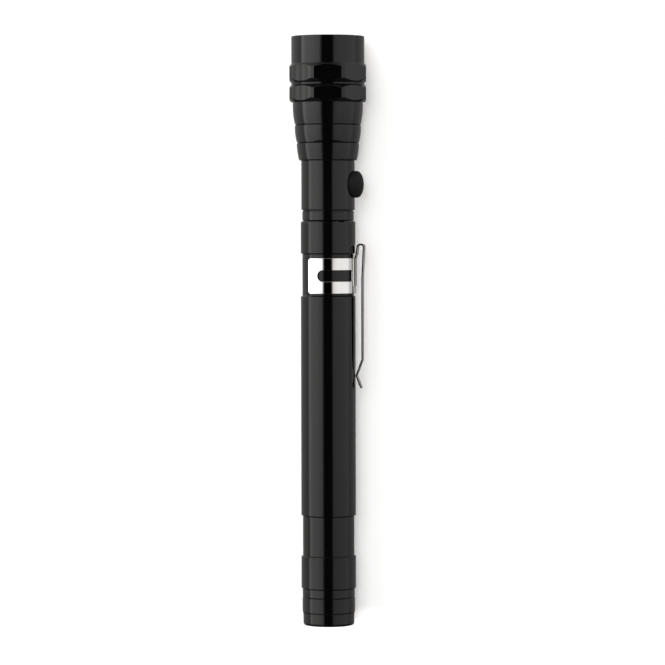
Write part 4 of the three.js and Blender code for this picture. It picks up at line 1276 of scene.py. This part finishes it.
# %% Inner pieces
CELL_COUNT = 4
inner_finishes = {
    "rod_anchor": brass,
    "head_seal": black_rubber,
    "switch_plunger": white_plastic,
    "switch_body": black_plastic,
    "switch_board": circuit_board,
    "switch_carrier": black_plastic,
    "negative_disc": brass,
    "negative_spring": chrome,
    "battery_sleeve": white_plastic,
    "positive_contact": brass,
    "led_board": circuit_board,
    "led_holder": white_plastic,
}
for number in TUBE_BODIES:
    inner_finishes["friction_sleeve_%d" % number] = brass
for number in range(1, CELL_COUNT + 1):
    inner_finishes["button_cell_%d" % number] = cell_steel
for node, finish in inner_finishes.items():
    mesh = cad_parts[node].data
    mesh.materials.clear()
    mesh.materials.append(finish)
print("inner pieces:", len(inner_finishes))

# %% [markdown]
# ## Hanging the pieces on the frame
#
# Every piece now rides on its body and hides the node that it stands for.

# %% Hang the pieces
for piece, body, nodes, slot in dressed:
    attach(piece, body)
    if nodes:
        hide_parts(*nodes)
print("dressed pieces:", len(dressed))

# %% [markdown]
# ## Studio
#
# Gloss black shows nothing but its surroundings, so the studio is the picture. In the photograph the
# middle of every round is black, with a tall soft light to the left of it, brightest at its outer
# edge, and a weaker one to the right. Edges that face up or down are dark lines. A tent round the
# flashlight gives this: a wall that carries the lights and a dim ceiling. Its floor is a sheet of
# black acrylic, which mirrors at a low angle, and so carries the lights on down to the foot, and is
# black from above. The camera doesn't see the tent, so every view keeps a white background. A narrow
# white card behind the flashlight takes its soft shadow. Near its foot the card glows brighter, a
# painted lightening that fades that shadow out towards the floor.

# %% Light tent
TENT_RADIUS = 0.3
TENT_HEIGHT = 0.8
TENT_SIDES = 128
CEILING_HOLE = 0.001
FLOOR_HOLE = 0.0005
FLOOR_GAP = 0.0001
# Degrees round from the front, left below zero, and the light there
BACK_LEFT = [(-180, 1.3), (-170, 1.3), (-164, 0.38), (-144, 0.45), (-111, 0.66), (-93, 0.71)]
LEFT_LAMP = [
    (-89, 1.6), (-85, 2.7), (-73, 1.95), (-48, 1.83), (-26.7, 1.37), (-20.2, 0.3), (-16.8, 0.0),
]
RIGHT_LAMP = [(13.8, 0.0), (18.8, 0.45), (22.7, 0.78), (39.5, 0.93), (90, 0.95)]
BACK_RIGHT = [(99.7, 0.58), (115.5, 0.5), (144, 0.34), (175, 0.16), (178, 1.1), (180, 1.3)]
TENT_LIGHT = BACK_LEFT + LEFT_LAMP + RIGHT_LAMP + BACK_RIGHT
PEAK = 2.8
LIGHT_COLOR = (1.0, 0.98, 0.965, 1)
LIGHT_FOOT = 0.87
LIGHT_RISE = 1.45
LIGHT_LIMIT = 1.2
SLIT_TOP = (0.3, 0.5)
TOP_LIGHT = 0.7
CEILING_REACH = (0.05, TENT_RADIUS)
CEILING_LIGHT = 0.15
ACRYLIC_SLANT = (0.6, 0.85)
ACRYLIC_GLOSS = (0.15, 0.95)


def stage_object(name, shape, material):
    mesh = bpy.data.meshes.new(name)
    shape.to_mesh(mesh)
    shape.free()
    mesh.materials.append(material)
    made = new_object(name, mesh)
    return made


def tent_part(name, circles, material):
    shape = bmesh.new()
    inner, outer = [circle(shape, radius, height, TENT_SIDES) for radius, height in circles]
    join_rings(shape, inner, outer)
    part = stage_object(name, shape, material)
    part.visible_camera = False
    part.visible_shadow = False
    return part


def flat_card(name, corners, material):
    shape = bmesh.new()
    shape.faces.new([shape.verts.new(c) for c in corners])
    return stage_object(name, shape, material)


def bare_material(name):
    material = bpy.data.materials.new(name)
    material.use_nodes = True
    material.node_tree.nodes.clear()
    return material, material.node_tree


def glowing(name):
    material, tree = bare_material(name)
    glow = add_node(tree, "ShaderNodeEmission", Color=LIGHT_COLOR)
    add_node(tree, "ShaderNodeOutputMaterial", Surface=glow.outputs["Emission"])
    return material, tree, glow.inputs["Strength"]


def object_place(tree):
    return split_place(add_node(tree, "ShaderNodeTexCoord").outputs["Object"])


tent_lights, tree, strength = glowing("tent_lights")
x, y, z = object_place(tree)
compass = calc("ARCTAN2", x, calc("MULTIPLY", y, -1.0))
share = calc("ADD", calc("DIVIDE", compass, 2 * math.pi), 0.5)
ramp = add_node(tree, "ShaderNodeValToRGB", Fac=share)
stops = ramp.color_ramp.elements
while len(stops) > 1:
    stops.remove(stops[-1])
for k, (degrees, light) in enumerate(TENT_LIGHT):
    stop = stops[0] if k == 0 else stops.new(degrees / 360 + 0.5)
    stop.position = degrees / 360 + 0.5
    stop.color = (light / PEAK, light / PEAK, light / PEAK, 1)
slope = calc("ADD", calc("MULTIPLY", z, LIGHT_RISE), LIGHT_FOOT)
rise = calc("MINIMUM", slope, LIGHT_LIMIT)
lit = calc("MULTIPLY", ramp.outputs["Color"], calc("MULTIPLY", rise, PEAK))
top = map_range(z, *SLIT_TOP, 0.0, TOP_LIGHT)
set_input(strength, calc("MAXIMUM", lit, top))

ceiling_light, tree, strength = glowing("ceiling_light")
x, y, _ = object_place(tree)
glow = map_range(length(x, y), *CEILING_REACH, CEILING_LIGHT, TOP_LIGHT)
set_input(strength, glow)
acrylic = new_finish("black_acrylic", (0, 0, 0), 0.0, metallic=1.0)
slant = add_node(acrylic.node_tree, "ShaderNodeLayerWeight", Blend=0.5)
gloss = map_range(slant.outputs["Facing"], *ACRYLIC_SLANT, *ACRYLIC_GLOSS)
set_shader(acrylic, Base_Color=gloss)

tent_part("tent_wall", [(TENT_RADIUS, TENT_HEIGHT), (TENT_RADIUS, 0)], tent_lights)
ceiling = [(CEILING_HOLE, TENT_HEIGHT), (TENT_RADIUS, TENT_HEIGHT)]
tent_part("tent_ceiling", ceiling, ceiling_light)
tent_floor = tent_part("tent_floor", [(FLOOR_HOLE, FLOOR_GAP), (TENT_RADIUS, FLOOR_GAP)], acrylic)
tent_floor.visible_diffuse = False
print("tent lights:", len(TENT_LIGHT), "stops round the wall")

# %% Floor, card, world and shadow lamps
WHITE = (1, 1, 1, 1)
PAPER = (0.8, 0.8, 0.8, 1)
FLOOR = 3.0
FLOOR_LIGHT = 0.62
CARD_BACK = 0.0125
CARD_LEFT = -0.03
CARD_RIGHT = 0.019
CARD_HEIGHT = 0.62
# Below CARD_FOOT the card glows brighter towards the floor: painted light that fades its shadow out
# at the foot.
CARD_FOOT = 0.004
CARD_LIGHT = 0.18
PAINTED_FOOT_GLOW = 0.52
ROOM_LIGHT = 0.5
LAMP_HEIGHT = 0.2
LAMP_AIM = Vector((0, 0, 0.1))


def seen_directly(tree):
    path = add_node(tree, "ShaderNodeLightPath")
    seen = calc("MAXIMUM", path.outputs["Is Camera Ray"], path.outputs["Is Glossy Ray"])
    return calc("MAXIMUM", seen, path.outputs["Is Transmission Ray"])


def white_card(name, own_light, foot_glow):
    material, tree = bare_material(name)
    _, _, z = object_place(tree)
    # The glow runs from the foot value at the floor to own_light at CARD_FOOT; on the card this is
    # painted light that fades the shadow near its foot.
    own = map_range(z, 0.0, CARD_FOOT, foot_glow, own_light)
    strength = calc("MULTIPLY", seen_directly(tree), own)
    paper = add_node(tree, "ShaderNodeBsdfDiffuse", Color=PAPER)
    glow = add_node(tree, "ShaderNodeEmission", Color=WHITE, Strength=strength)
    both = add_node(tree, "ShaderNodeAddShader")
    set_input(both.inputs[0], paper.outputs["BSDF"])
    set_input(both.inputs[1], glow.outputs["Emission"])
    clear = add_node(tree, "ShaderNodeBsdfTransparent")
    side = add_node(tree, "ShaderNodeNewGeometry")
    front = add_node(tree, "ShaderNodeMixShader", Fac=side.outputs["Backfacing"])
    set_input(front.inputs[1], both.outputs["Shader"])
    set_input(front.inputs[2], clear.outputs["BSDF"])
    add_node(tree, "ShaderNodeOutputMaterial", Surface=front.outputs["Shader"])
    return material


flat_card("floor", [
    (-FLOOR, -FLOOR, 0),
    (FLOOR, -FLOOR, 0),
    (FLOOR, FLOOR, 0),
    (-FLOOR, FLOOR, 0),
], white_card("floor_white", FLOOR_LIGHT, FLOOR_LIGHT))
card = flat_card("shadow_card", [
    (CARD_LEFT, CARD_BACK, 0),
    (CARD_RIGHT, CARD_BACK, 0),
    (CARD_RIGHT, CARD_BACK, CARD_HEIGHT),
    (CARD_LEFT, CARD_BACK, CARD_HEIGHT),
], white_card("card_white", CARD_LIGHT, PAINTED_FOOT_GLOW))
card.visible_glossy = False

world = bpy.data.worlds.new("white_room")
scene.world = world
world.use_nodes = True
tree = world.node_tree
extra = calc("MULTIPLY", seen_directly(tree), 1 - ROOM_LIGHT)
strength = calc("ADD", extra, ROOM_LIGHT)
set_inputs(tree.nodes["Background"], Color=WHITE, Strength=strength)


def shadow_lamp(name, degrees, width, height, watts):
    lamp_data = bpy.data.lights.new(name, "AREA")
    lamp_data.shape = "RECTANGLE"
    lamp_data.size = width
    lamp_data.size_y = height
    lamp_data.energy = watts
    lamp = new_object(name, lamp_data)
    angle = math.radians(degrees)
    lamp.location = (-math.sin(angle), -math.cos(angle), LAMP_HEIGHT)
    lamp.rotation_euler = (LAMP_AIM - lamp.location).to_track_quat("-Z", "Y").to_euler()
    lamp.visible_glossy = False
    lamp.visible_camera = False


shadow_lamp("wide_shadow_lamp", degrees=9, width=0.35, height=0.8, watts=6.2)
shadow_lamp("narrow_shadow_lamp", degrees=4, width=0.1, height=0.3, watts=1.5)
print("lamps:", len(bpy.data.lights))
